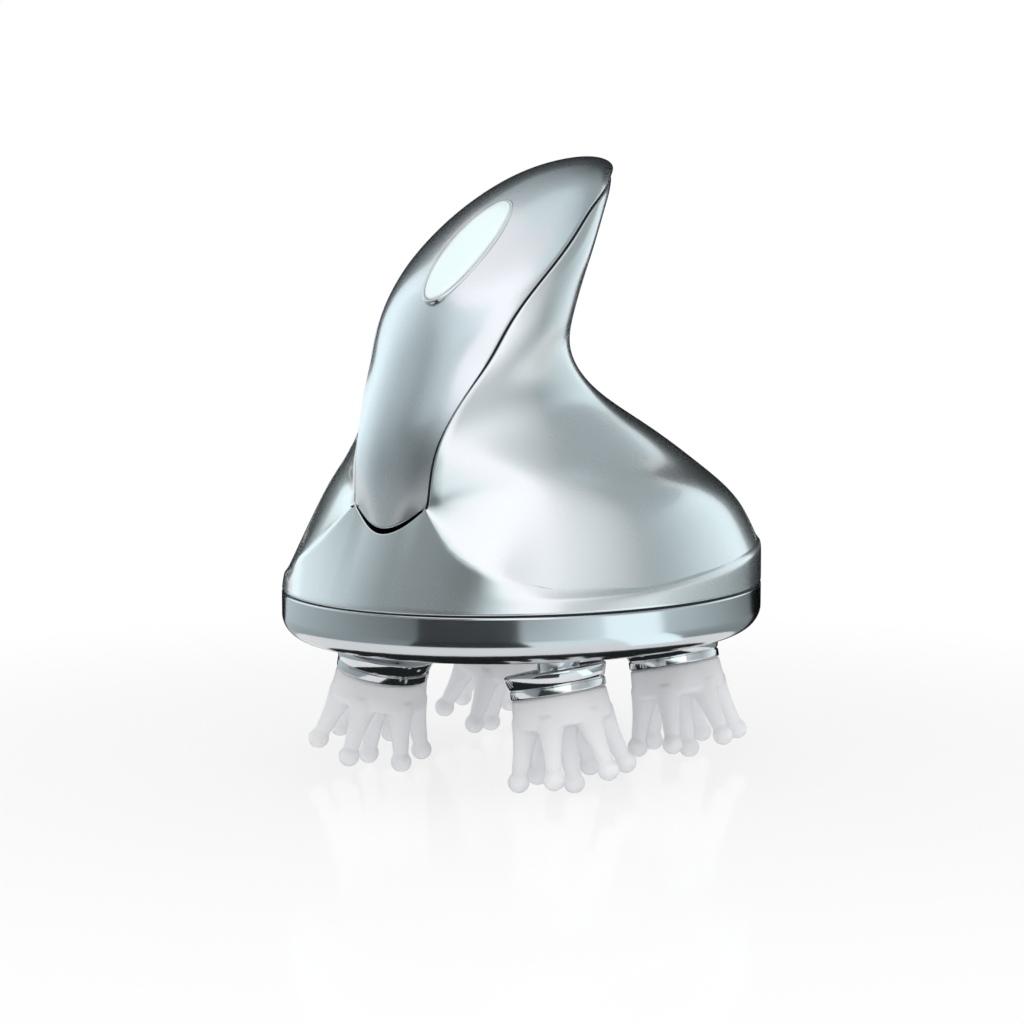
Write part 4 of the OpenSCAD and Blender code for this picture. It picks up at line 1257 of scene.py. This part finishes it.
@dataclass
class MassageHead:
    """One tilted head: a plated collar and seven soft fingers moulded with their cup.

    Heights are counted from the disc where cup and collar meet. The cup's foot is rounded about
    a middle that lies in from its side and up from its foot. A finger's taper is a power where 1
    makes a straight cone, and it ends tip_room tip radii above its tip's middle. The groove's
    points count from the collar's radius and its band's top.
    """

    disc_mm: float = 24.13
    tilt: float = 12.0
    finger_count: int = 6
    phase: float = 15.0
    reach_mm: float = 19.3
    centre_reach_mm: float = 21.8
    tip_circle_mm: float = 13.2
    cup_radius_mm: float = 11.5
    cup_depth_mm: float = 7.4
    cup_edge_mm: float = 0.6
    cup_foot_mm: float = 1.4
    cup_foot_at_mm: tuple[float, float] = (0.9, 1.2)
    cup_crown_mm: float = 0.2
    root_circle_mm: float = 8.8
    root_sink_mm: float = 1.5
    root_mm: float = 3.3
    root_grow_mm: float = 0.5
    taper: float = 1.7
    taper_steps: int = 12
    neck_mm: float = 2.1
    tip_mm: float = 2.6
    tip_start: float = -46.0
    tip_room: float = 1.5
    collar_radius_mm: float = 11.6
    collar_band_mm: float = 2.2
    collar_rise_mm: float = 3.6
    collar_flare_mm: float = 0.8
    collar_edge_mm: float = 0.4
    collar_top_mm: float = 0.7
    collar_seat_mm: float = 0.02
    groove: Sequence[tuple[float, float]] = ((0.0, -0.3), (-0.3, -0.05), (-0.3, 0.1), (0.0, 0.35))
    neck_radius_mm: float = 5.1
    neck_edge_mm: float = 0.3
    neck_foot_mm: float = 3.0
    neck_room_mm: float = 0.3
    voxel_mm: float = 0.42
    finger_sides: int = 32
    cup_sides: int = 96
    collar_sides: int = 128
    neck_sides: int = 64

    def finger(self, foot: Vector, tip: Vector) -> bpy.types.Object:
        """One finger from its foot in the cup to the middle of its round tip.

        Args:
            foot: Start of the finger, in millimetres from the disc's centre.
            tip: Middle of its round end.

        Returns:
            The finger as a closed turned piece.
        """
        length = (tip - foot).length
        neck_at, root = length - self.tip_room * self.tip_mm, self.root_mm + self.root_grow_mm
        section = [(0.0, 0.0), (root, 0.0)]
        for k in range(self.taper_steps + 1):
            t = k / self.taper_steps
            section.append((self.neck_mm + (root - self.neck_mm) * (1 - t) ** self.taper, neck_at * t))
        section += arc((0.0, length), self.tip_mm, self.tip_start, 90, 10)
        piece = spun("finger", section, self.finger_sides)
        turn = Vector((0, 0, 1)).rotation_difference(tip - foot).to_matrix().to_4x4()
        piece.data.transform(Matrix.Translation(foot * MM) @ turn)
        return piece

    def silicone(self) -> bpy.types.Object:
        """Cup and fingers in one soft moulding, standing on the disc's centre.

        Returns:
            The moulding.
        """
        r, edge, (foot_in, foot_up) = self.cup_radius_mm, self.cup_edge_mm, self.cup_foot_at_mm
        cup = [(0.0, 0.0), *arc((r - edge, -edge), edge, 90, 0, 4),
               *arc((r - foot_in, foot_up - self.cup_depth_mm), self.cup_foot_mm, 0, -90, 6),
               (0.0, -self.cup_depth_mm - self.cup_crown_mm)]
        parts = [spun("cup", cup, self.cup_sides)]
        root = Vector((0, 0, self.root_sink_mm - self.cup_depth_mm))
        for k in range(self.finger_count):
            aim = heading(self.phase + 360 * k / self.finger_count).to_3d()
            parts.append(self.finger(aim * self.root_circle_mm + root,
                                     aim * self.tip_circle_mm + Vector((0, 0, -self.reach_mm))))
        parts.append(self.finger(root, Vector((0, 0, -self.centre_reach_mm))))
        head = join(parts, "silicone")
        apply_modifier(head, "REMESH", mode="VOXEL", voxel_size=self.voxel_mm * MM)
        apply_modifier(head, "SMOOTH", factor=0.5, iterations=4)
        return head

    def collar(self) -> bpy.types.Object:
        """The plated holder above the cup: a short band, a groove and a flare.

        Returns:
            The collar, standing on the disc's centre.
        """
        r, band, edge = self.collar_radius_mm, self.collar_band_mm, self.collar_edge_mm
        top, over = band + self.collar_rise_mm, self.collar_top_mm
        section = [(0.0, self.collar_seat_mm), (r - edge, self.collar_seat_mm),
                   *arc((r - edge, edge + self.collar_seat_mm), edge, -90, 0, 6),
                   *((r + a, band + b) for a, b in self.groove),
                   *arc((r + self.collar_flare_mm - over, top - over), over, 8, 90, 8), (0.0, top)]
        return spun("collar", section, self.collar_sides)

    def neck(self) -> bpy.types.Object:
        """The upright neck of the holder round its shaft.

        Returns:
            The neck, on the Z axis.
        """
        foot = self.disc_mm + self.neck_foot_mm
        head = low("lower_ring").z / MM - self.neck_room_mm
        r, edge = self.neck_radius_mm, self.neck_edge_mm
        section = [(0.0, foot), (r, foot), *arc((r - edge, head - edge), edge, 0, 90, 4), (0.0, head)]
        return spun("neck", section, self.neck_sides)

    def build(self) -> None:
        """Makes the four heads as copies of one, tilted outward and set on their shafts."""
        soft, collar, neck = self.silicone(), self.collar(), self.neck()
        for name, side in (("fr", -1), ("fl", 1), ("rr", -1), ("rl", 1)):
            x, y = joint(f"head_{name}_spin")["pos_m"][:2]
            upright = Matrix.Translation(Vector((x, y, 0)))
            place = (upright @ Matrix.Translation(Vector((0, 0, self.disc_mm * MM)))
                     @ Euler((math.radians(side * self.tilt), 0, 0)).to_matrix().to_4x4())
            fingers = copy_of(soft, f"massage_head_{name}_silicone")
            fingers.data.transform(place)
            soft_shading(fingers, 60)
            wear(fingers, f"head_{name}", SILICONE, Slot.SILICONE, [f"massage_head_{name}"])
            band, stem = copy_of(collar, "band"), copy_of(neck, "stem")
            band.data.transform(place)
            stem.data.transform(upright)
            holder = join([band, stem], f"head_holder_{name}_plated")
            soft_shading(holder)
            wear(holder, f"head_{name}", CHROME_PLATE, Slot.HOLDER_PLATED, [f"head_holder_{name}"])
            dress(f"head_shaft_{name}", STEEL)
            dress(f"head_gear_{name}", ACETAL)
            dress(f"shaft_clip_{name}", SCREW_STEEL)
        for piece in (soft, collar, neck):
            bpy.data.objects.remove(piece)


@dataclass
class PowerButton:
    """The oval button in the cover with its bezel, switch and seal.

    The pieces lie in the button's own axes: x up along the spine, y across and z outward.
    """

    length_mm: float = 38.5
    width_mm: float = 12.0
    gap_mm: float = 0.25
    wall_mm: float = 0.8
    crown_along_mm: float = 200.0
    crown_across_mm: float = 50.0
    seal_middle_mm: float = -5.1
    floor_mm: float = -13.0
    floor_wall_mm: float = 1.2
    ledge_mm: float = -5.4
    ledge_in_mm: float = 1.5
    cap_foot_mm: float = -2.6
    cap_rise_mm: float = 0.5
    cap_edge_mm: float = 0.5
    cap_rings: Sequence[float] = (0.85, 0.7, 0.5, 0.3, 0.15, 0.0)
    bezel_rise_mm: float = 0.15
    bezel_edge_mm: float = 0.3
    edge_steps: int = 5
    sides: int = 160

    def crown(self, x: float, y: float) -> float:
        """Height of the crowned surface that follows the cover, at a place in millimetres."""
        across = self.crown_across_mm - math.sqrt(self.crown_across_mm ** 2 - y * y)
        return math.sqrt((self.crown_along_mm - across) ** 2 - x * x) - self.crown_along_mm

    def axes(self) -> Matrix:
        """The button's own axes in the frame, from its seal and the way it is pressed.

        Returns:
            The matrix from the button's axes to the frame.
        """
        out = -Vector(joint("button_press")["axis"]).normalized()
        middle = (low("button_seal") + high("button_seal")) / 2
        across = Vector((0, 1, 0))
        turn = Matrix((across.cross(out), across, out)).transposed().to_4x4()
        return Matrix.Translation(middle - out * self.seal_middle_mm * MM) @ turn

    def swept(self, name: str, section: Sequence[tuple[float, float, float, bool]]) -> bpy.types.Object:
        """A section swept round the oval.

        Args:
            name: The name of the piece.
            section: Points as (growth of the oval, share of the oval, height, on the crown).

        Returns:
            The closed piece, set in the frame.
        """
        steps = len(section) - 1

        def place(u: float, v: float) -> Vector:
            """Lays one vertex of the sweep.

            Args:
                u: From 0 to 1 round the oval.
                v: From 0 to 1 along the section.

            Returns:
                The point in metres, in the button's axes.
            """
            grow, share, height, crowned = section[round(v * steps)]
            turn = 2 * math.pi * u
            x = (self.length_mm / 2 + grow) * share * math.cos(turn)
            y = (self.width_mm / 2 + grow) * share * math.sin(turn)
            return Vector((x, y, height + (self.crown(x, y) if crowned else 0.0))) * MM

        piece = grid(name, self.sides, steps, place)
        edit(piece, weld(), outward())
        piece.data.transform(self.axes())
        return piece

    def rounded(self, grow: float, radius: float, height: float,
                inward: bool) -> list[tuple[float, float, float, bool]]:
        """Points of a rounded top edge.

        Args:
            grow: Growth of the oval at the wall.
            radius: Radius of the rounding.
            height: Height over the crowned surface.
            inward: Whether the edge runs down the inside, and not up the outside.

        Returns:
            The points for a swept section.
        """
        turns = [math.pi / 2 * k / self.edge_steps for k in range(self.edge_steps + 1)]
        if inward:
            return [(grow + radius * (1 - math.sin(a)), 1.0, height - radius * (1 - math.cos(a)), True)
                    for a in turns]
        return [(grow - radius * (1 - math.cos(a)), 1.0, height - radius * (1 - math.sin(a)), True)
                for a in turns]

    def cap(self) -> bpy.types.Object:
        """The pale cap with a soft edge and a crowned top.

        Returns:
            The finished mesh.
        """
        section = [(0.0, 0.0, self.cap_foot_mm, False), (0.0, 1.0, self.cap_foot_mm, False)]
        section += self.rounded(0.0, self.cap_edge_mm, self.cap_rise_mm, False)
        section += [(-self.cap_edge_mm, share, self.cap_rise_mm, True) for share in self.cap_rings]
        return self.swept("power_button_cap", section)

    def bezel(self) -> bpy.types.Object:
        """The well that carries the button, with a rounded rim level with the cover.

        Returns:
            The finished mesh.
        """
        out, inner, floor = self.gap_mm + self.wall_mm, self.gap_mm, self.floor_mm + self.floor_wall_mm
        section = [(0.0, 0.0, self.floor_mm, False), (out, 1.0, self.floor_mm, False)]
        section += self.rounded(out, self.bezel_edge_mm, self.bezel_rise_mm, False)
        section += self.rounded(inner, self.bezel_edge_mm, self.bezel_rise_mm, True)
        section += [(inner, 1.0, self.ledge_mm, False), (-self.ledge_in_mm, 1.0, self.ledge_mm, False),
                    (-self.ledge_in_mm, 1.0, floor, False), (-self.ledge_in_mm, 0.0, floor, False)]
        return self.swept("button_bezel", section)

    def build(self) -> None:
        """Makes the cap and its bezel, and dresses what lies under them."""
        cap = self.cap()
        soft_shading(cap)
        wear(cap, "button", TINTED_CAP, Slot.BUTTON_CAP, ["power_button"])
        bezel = self.bezel()
        soft_shading(bezel)
        wear(bezel, "housing", RING_PLATE, Slot.BUTTON_FRAME, ["button_housing"])
        dress("button_seal", RUBBER_AND_GAP_SHADE)
        dress("button_board", SOLDER_MASK)
        dress("tact_switch", BLACK_MOULDING)
        dress("status_leds", LED_LENS)


@dataclass
class DriveAndPower:
    """Gears, motor, cells and boards inside the body."""

    finishes: Sequence[tuple[Finish, Sequence[str]]] = (
        (ACETAL, ("row_gear_right", "row_gear_left", "drive_gear")),
        (BRASS, ("shaft_bushes", "motor_pinion")),
        (STEEL, ("row_axles", "output_shaft", "gearmotor", "cell_contacts")),
        (SCREW_STEEL, ("motor_screws",)),
        (RUBBER_AND_GAP_SHADE, ("shaft_seals",)),
        (FRAME_ABS, ("gear_cover", "battery_holder")),
        (CELL_WRAP, ("cell_right", "cell_left")),
        (SOLDER_MASK, ("control_board",)),
        (POLYIMIDE, ("ribbon_cable", "motor_lead", "charge_lead")))

    def build(self) -> None:
        """Dresses every inner node."""
        for finish, nodes in self.finishes:
            for node in nodes:
                dress(node, finish)


# ---------------------------------------------------------------- studio

# Light of the cards: a cool one for the grey tones and a plain one for the bright
COOL, BRIGHT = "#ECFCFF", "#FFFDFF"


@dataclass(frozen=True)
class Card:
    """A soft panel round the object, seen only in its reflections.

    Args:
        name: The card's name.
        turn: First and last direction from the object, in degrees from the front rail.
        rise: Lowest and highest direction above the floor, in degrees.
        level: Brightness at its first and its last edge, where 1 is white.
        reach: Distance from the object, in metres.
        sideways: Whether the level changes along the turn, and not from foot to head.
        colour: sRGB hex colour of its light.
    """

    name: str
    turn: tuple[float, float]
    rise: tuple[float, float]
    level: tuple[float, float]
    reach: float = 1.5
    sideways: bool = False
    colour: str = COOL

    def point(self, middle: Vector, across: float, up: float) -> Vector:
        """A point of the card.

        Args:
            middle: Middle of the object.
            across: From 0 to 1 along the turn.
            up: From 0 to 1 along the rise.

        Returns:
            The point in metres.
        """
        turn = math.radians(self.turn[0] + (self.turn[1] - self.turn[0]) * across)
        rise = math.radians(self.rise[0] + (self.rise[1] - self.rise[0]) * up)
        aim = Vector((math.cos(turn) * math.cos(rise), math.sin(turn) * math.cos(rise), math.sin(rise)))
        return middle + aim * self.reach

    def target(self, middle: Vector) -> Vector:
        """The point that the card's glowing side faces."""
        return middle


@dataclass(frozen=True)
class FloorCard(Card):
    """A card that lies on the floor; its rise is its nearest and farthest distance in metres."""

    height: float = 0.0006

    def point(self, middle: Vector, across: float, up: float) -> Vector:
        """A point of the card.

        Args:
            middle: Middle of the object, which has no part in it.
            across: From 0 to 1 along the turn.
            up: From 0 to 1 outward.

        Returns:
            The point in metres.
        """
        turn = math.radians(self.turn[0] + (self.turn[1] - self.turn[0]) * across)
        far = self.rise[0] + (self.rise[1] - self.rise[0]) * up
        return Vector((math.cos(turn) * far, math.sin(turn) * far, self.height))

    def target(self, middle: Vector) -> Vector:
        """The point that the card's glowing side faces: one above the floor."""
        return Vector((0.0, 0.0, 1.0))


@dataclass(frozen=True)
class Lamp:
    """A soft rectangular lamp that leaves the reflections to the cards.

    Args:
        name: The lamp's name.
        at: Where it stands, in metres.
        size: Width and height in metres.
        watts: Its power.
    """

    name: str
    at: tuple[float, float, float]
    size: tuple[float, float]
    watts: float


@dataclass
class Studio:
    """Camera, floor, white surround, soft lamps and the cards that shade the metal.

    Args:
        camera_at: Where the camera stands.
        camera_to: What it looks at.
        lens_mm: Its focal length.
        sensor_mm: Width of its sensor.
        nearest: Least distance that it sees.
        floor_size: Side of the floor in metres.
        floor_drop: How far the floor lies under the feet of the fingers.
        floor_seen: Share of plain white in what the camera sees of the floor, near and far.
        floor_fade: Distances from the object between which that share rises.
        floor_mirrored: The same share in reflections.
        floor_lit: The same share where the floor lights other pieces.
        world_lit: Brightness of the surround where it lights.
        card_faces: Faces of a card across and up.
        middle: Middle of the object.
        lamps: The lamps.
        cards: The cards.
    """

    camera_at: tuple[float, float, float] = (-0.5098, -0.3545, 0.1273)
    camera_to: tuple[float, float, float] = (-0.00182, 0.00259, 0.0639)
    lens_mm: float = 87.3
    sensor_mm: float = 36.0
    nearest: float = 0.01
    floor_size: float = 6.0
    floor_drop: float = 0.0002
    floor_seen: tuple[float, float] = (0.8, 1.0)
    floor_fade: tuple[float, float] = (0.08, 0.3)
    floor_mirrored: float = 0.55
    floor_lit: float = 0.8
    world_lit: float = 0.96
    card_faces: tuple[int, int] = (24, 12)
    middle: tuple[float, float, float] = (0.0, 0.0, 0.07)
    lamps: Sequence[Lamp] = (
        Lamp("overhead", (-0.2, 0.0, 1.3), (0.9, 1.0), 2.2),
        Lamp("front", (-0.62, -0.642, 1.213), (0.88, 0.9), 3.1))
    cards: Sequence[Card] = (
        Card("black_card_behind", (-4, 68), (-2, 38), (0.0, 0.0), 1.6),
        Card("dark_card_above", (-14, 58), (38, 62), (0.02, 0.5), 1.6),
        Card("bright_card_left", (69, 88), (0, 44), (1.3, 1.45), sideways=True),
        Card("soft_card_left", (88, 146), (0, 48), (1.45, 0.36), sideways=True),
        Card("grey_card_left", (146, 206), (0, 34), (0.36, 0.08), sideways=True),
        Card("grey_card_left_high", (146, 206), (34, 48), (0.36, 0.95), sideways=True),
        Card("rising_card_front", (206, 224), (-2, 34), (0.08, 1.5), sideways=True),
        Card("bright_card_front", (224, 246), (-2, 34), (1.5, 1.4), colour=BRIGHT),
        Card("bright_card_front_high", (206, 246), (34, 62), (1.5, 1.5), colour=BRIGHT),
        Card("soft_card_left_high", (108, 206), (48, 60), (0.5, 1.35), sideways=True),
        Card("bright_card_above", (60, 260), (60, 89), (1.1, 1.5), 1.25, sideways=True, colour=BRIGHT),
        Card("soft_card_above", (-100, 60), (60, 80), (0.6, 1.0), 1.2),
        Card("soft_card_front", (246, 284), (0, 60), (1.45, 0.6), 1.3, sideways=True, colour="#F6FCFF"),
        Card("soft_card_right", (284, 354), (0, 32), (0.36, 1.4), sideways=True),
        Card("grey_card_right", (284, 348), (32, 60), (0.5, 0.46)),
        FloorCard("black_floor_behind", (-12, 73), (0.09, 1.7), (0.0, 0.0)),
        # dark_floor_under is painted shadow: the shaded floor under the object, as reflections show it
        FloorCard("dark_floor_under", (0, 360), (0.004, 0.068), (0.02, 0.02)),
        FloorCard("soft_floor_left", (74, 180), (0.115, 0.9), (0.9, 0.1), sideways=True),
        FloorCard("dark_floor_left", (180, 226), (0.115, 0.9), (0.05, 0.05)),
        FloorCard("soft_floor_front", (226, 262), (0.115, 0.9), (0.06, 1.1), sideways=True),
        FloorCard("bright_floor_front", (262, 288), (0.085, 0.7), (1.45, 1.45)),
        FloorCard("soft_floor_right", (288, 350), (0.1, 0.7), (0.9, 0.15), sideways=True),
        FloorCard("bright_floor_right", (325, 352), (0.7, 1.5), (1.2, 1.2)))

    def camera(self) -> None:
        """Sets up the camera at the object's left rear, a little above the floor."""
        data = bpy.data.cameras.new("camera")
        data.lens = self.lens_mm
        data.sensor_width = self.sensor_mm
        data.clip_start = self.nearest
        camera = bpy.data.objects.new("camera", data)
        bpy.context.collection.objects.link(camera)
        camera.location = self.camera_at
        aim = Vector(self.camera_to) - Vector(self.camera_at)
        camera.rotation_euler = aim.to_track_quat("-Z", "Y").to_euler()
        bpy.context.scene.camera = camera

    def lamp(self, lamp: Lamp) -> None:
        """Adds one lamp, turned to the object.

        Args:
            lamp: The lamp to add.
        """
        data = bpy.data.lights.new(lamp.name, "AREA")
        data.shape = "RECTANGLE"
        data.size, data.size_y = lamp.size
        data.energy = lamp.watts
        light = bpy.data.objects.new(lamp.name, data)
        bpy.context.collection.objects.link(light)
        light.location = lamp.at
        light.visible_glossy = False
        light.rotation_euler = (Vector(self.middle) - Vector(lamp.at)).to_track_quat("-Z", "Y").to_euler()

    def card(self, card: Card) -> None:
        """Hangs or lays one card; only its inner face glows, and only reflections see it.

        Args:
            card: The card to make.
        """
        middle = Vector(self.middle)
        panel = grid(card.name, *self.card_faces, lambda u, v: card.point(middle, u, v))
        ends = ((0.0, 0.5), (1.0, 0.5)) if card.sideways else ((0.5, 0.0), (0.5, 1.0))
        first, last = (card.point(middle, *end) for end in ends)
        material = empty_material(card.name)
        tree = material.node_tree
        place = add_node(tree, "ShaderNodeTexCoord").outputs["Object"]
        away = add_node(tree, "ShaderNodeVectorMath", {"operation": "DISTANCE", 1: first}, {0: place})
        level = add_node(tree, "ShaderNodeMapRange",
                         {"From Max": (last - first).length, "To Min": card.level[0],
                          "To Max": card.level[1]}, {"Value": away.outputs["Value"]})
        glow = add_node(tree, "ShaderNodeEmission", {"Color": linear(card.colour)},
                        {"Strength": level.outputs["Result"]}).outputs["Emission"]
        clear = add_node(tree, "ShaderNodeBsdfTransparent").outputs["BSDF"]
        facing = add_node(tree, "ShaderNodeNewGeometry").outputs["Backfacing"]
        face = panel.data.polygons[0]
        inner = face.normal.dot(card.target(middle) - face.center) > 0
        side = add_node(tree, "ShaderNodeMixShader", None,
                        {0: facing, 1: glow if inner else clear, 2: clear if inner else glow})
        add_node(tree, "ShaderNodeOutputMaterial", None, {"Surface": side.outputs["Shader"]})
        panel.data.materials.append(material)
        panel.visible_camera = False
        panel.visible_transmission = False
        panel.visible_diffuse = False
        panel.visible_shadow = False

    def floor(self) -> None:
        """Lays a glossy white floor that melts into the white surround."""
        rest_all()
        bpy.ops.mesh.primitive_plane_add(size=self.floor_size, location=(0, 0, -self.floor_drop))
        plane = named("floor")
        material = empty_material("white_acrylic_floor")
        tree = material.node_tree
        path = add_node(tree, "ShaderNodeLightPath").outputs
        place = add_node(tree, "ShaderNodeTexCoord").outputs["Object"]
        reach = add_node(tree, "ShaderNodeVectorMath", {"operation": "LENGTH"}, {0: place})
        (near, far), (least, most) = self.floor_fade, self.floor_seen
        share = add_node(tree, "ShaderNodeMapRange",
                         {"interpolation_type": "SMOOTHSTEP", "From Min": near, "From Max": far,
                          "To Min": least, "To Max": most}, {"Value": reach.outputs["Value"]})
        seen = add_node(tree, "ShaderNodeMath", {"operation": "MULTIPLY"},
                        {0: path["Is Camera Ray"], 1: share.outputs["Result"]})
        mirrored = add_node(tree, "ShaderNodeMath", {"operation": "MULTIPLY", 1: self.floor_mirrored},
                            {0: path["Is Glossy Ray"]})
        lit = add_node(tree, "ShaderNodeMath", {"operation": "MULTIPLY", 1: self.floor_lit},
                       {0: path["Is Diffuse Ray"]})
        white_share = seen.outputs["Value"]
        for other in (mirrored.outputs["Value"], path["Is Transmission Ray"], lit.outputs["Value"]):
            white_share = add_node(tree, "ShaderNodeMath", {"operation": "MAXIMUM"},
                                   {0: white_share, 1: other}).outputs["Value"]
        white = add_node(tree, "ShaderNodeEmission", {"Color": (1, 1, 1, 1), "Strength": 1.0})
        acrylic = add_node(tree, "ShaderNodeBsdfPrincipled",
                           {"Base Color": linear("#F4F5F6"), "Roughness": 0.1, "Specular IOR Level": 0.5})
        mix = add_node(tree, "ShaderNodeMixShader", None,
                       {0: white_share, 1: acrylic.outputs["BSDF"], 2: white.outputs["Emission"]})
        add_node(tree, "ShaderNodeOutputMaterial", None, {"Surface": mix.outputs["Shader"]})
        plane.data.materials.append(material)

    def surround(self) -> None:
        """Makes the world white where it is seen, and softer where it lights."""
        world = bpy.data.worlds.new("white_surround")
        bpy.context.scene.world = world
        world.use_nodes = True
        tree = world.node_tree
        tree.nodes.clear()
        path = add_node(tree, "ShaderNodeLightPath").outputs
        seen = path["Is Camera Ray"]
        for other in (path["Is Transmission Ray"], path["Is Glossy Ray"]):
            seen = add_node(tree, "ShaderNodeMath", {"operation": "MAXIMUM"},
                            {0: seen, 1: other}).outputs["Value"]
        strength = add_node(tree, "ShaderNodeMapRange", {"To Min": self.world_lit, "To Max": 1.0},
                            {"Value": seen})
        light = add_node(tree, "ShaderNodeBackground", {"Color": (1, 1, 1, 1)},
                         {"Strength": strength.outputs["Result"]})
        add_node(tree, "ShaderNodeOutputWorld", None, {"Surface": light.outputs["Background"]})

    def build(self) -> None:
        """Sets up camera, floor, surround, cards and lamps."""
        self.camera()
        self.floor()
        self.surround()
        for card in self.cards:
            self.card(card)
        for lamp in self.lamps:
            self.lamp(lamp)
        bpy.context.scene.view_settings.view_transform = "Standard"


def main() -> None:
    """Builds the massager and its studio in order."""
    logging.basicConfig(level=logging.INFO, format="%(name)s: %(message)s")
    Studio().build()
    Housing(GripSurface()).build()
    LowerRing().build()
    MassageHead().build()
    PowerButton().build()
    DriveAndPower().build()


if __name__ == "__main__":
    main()
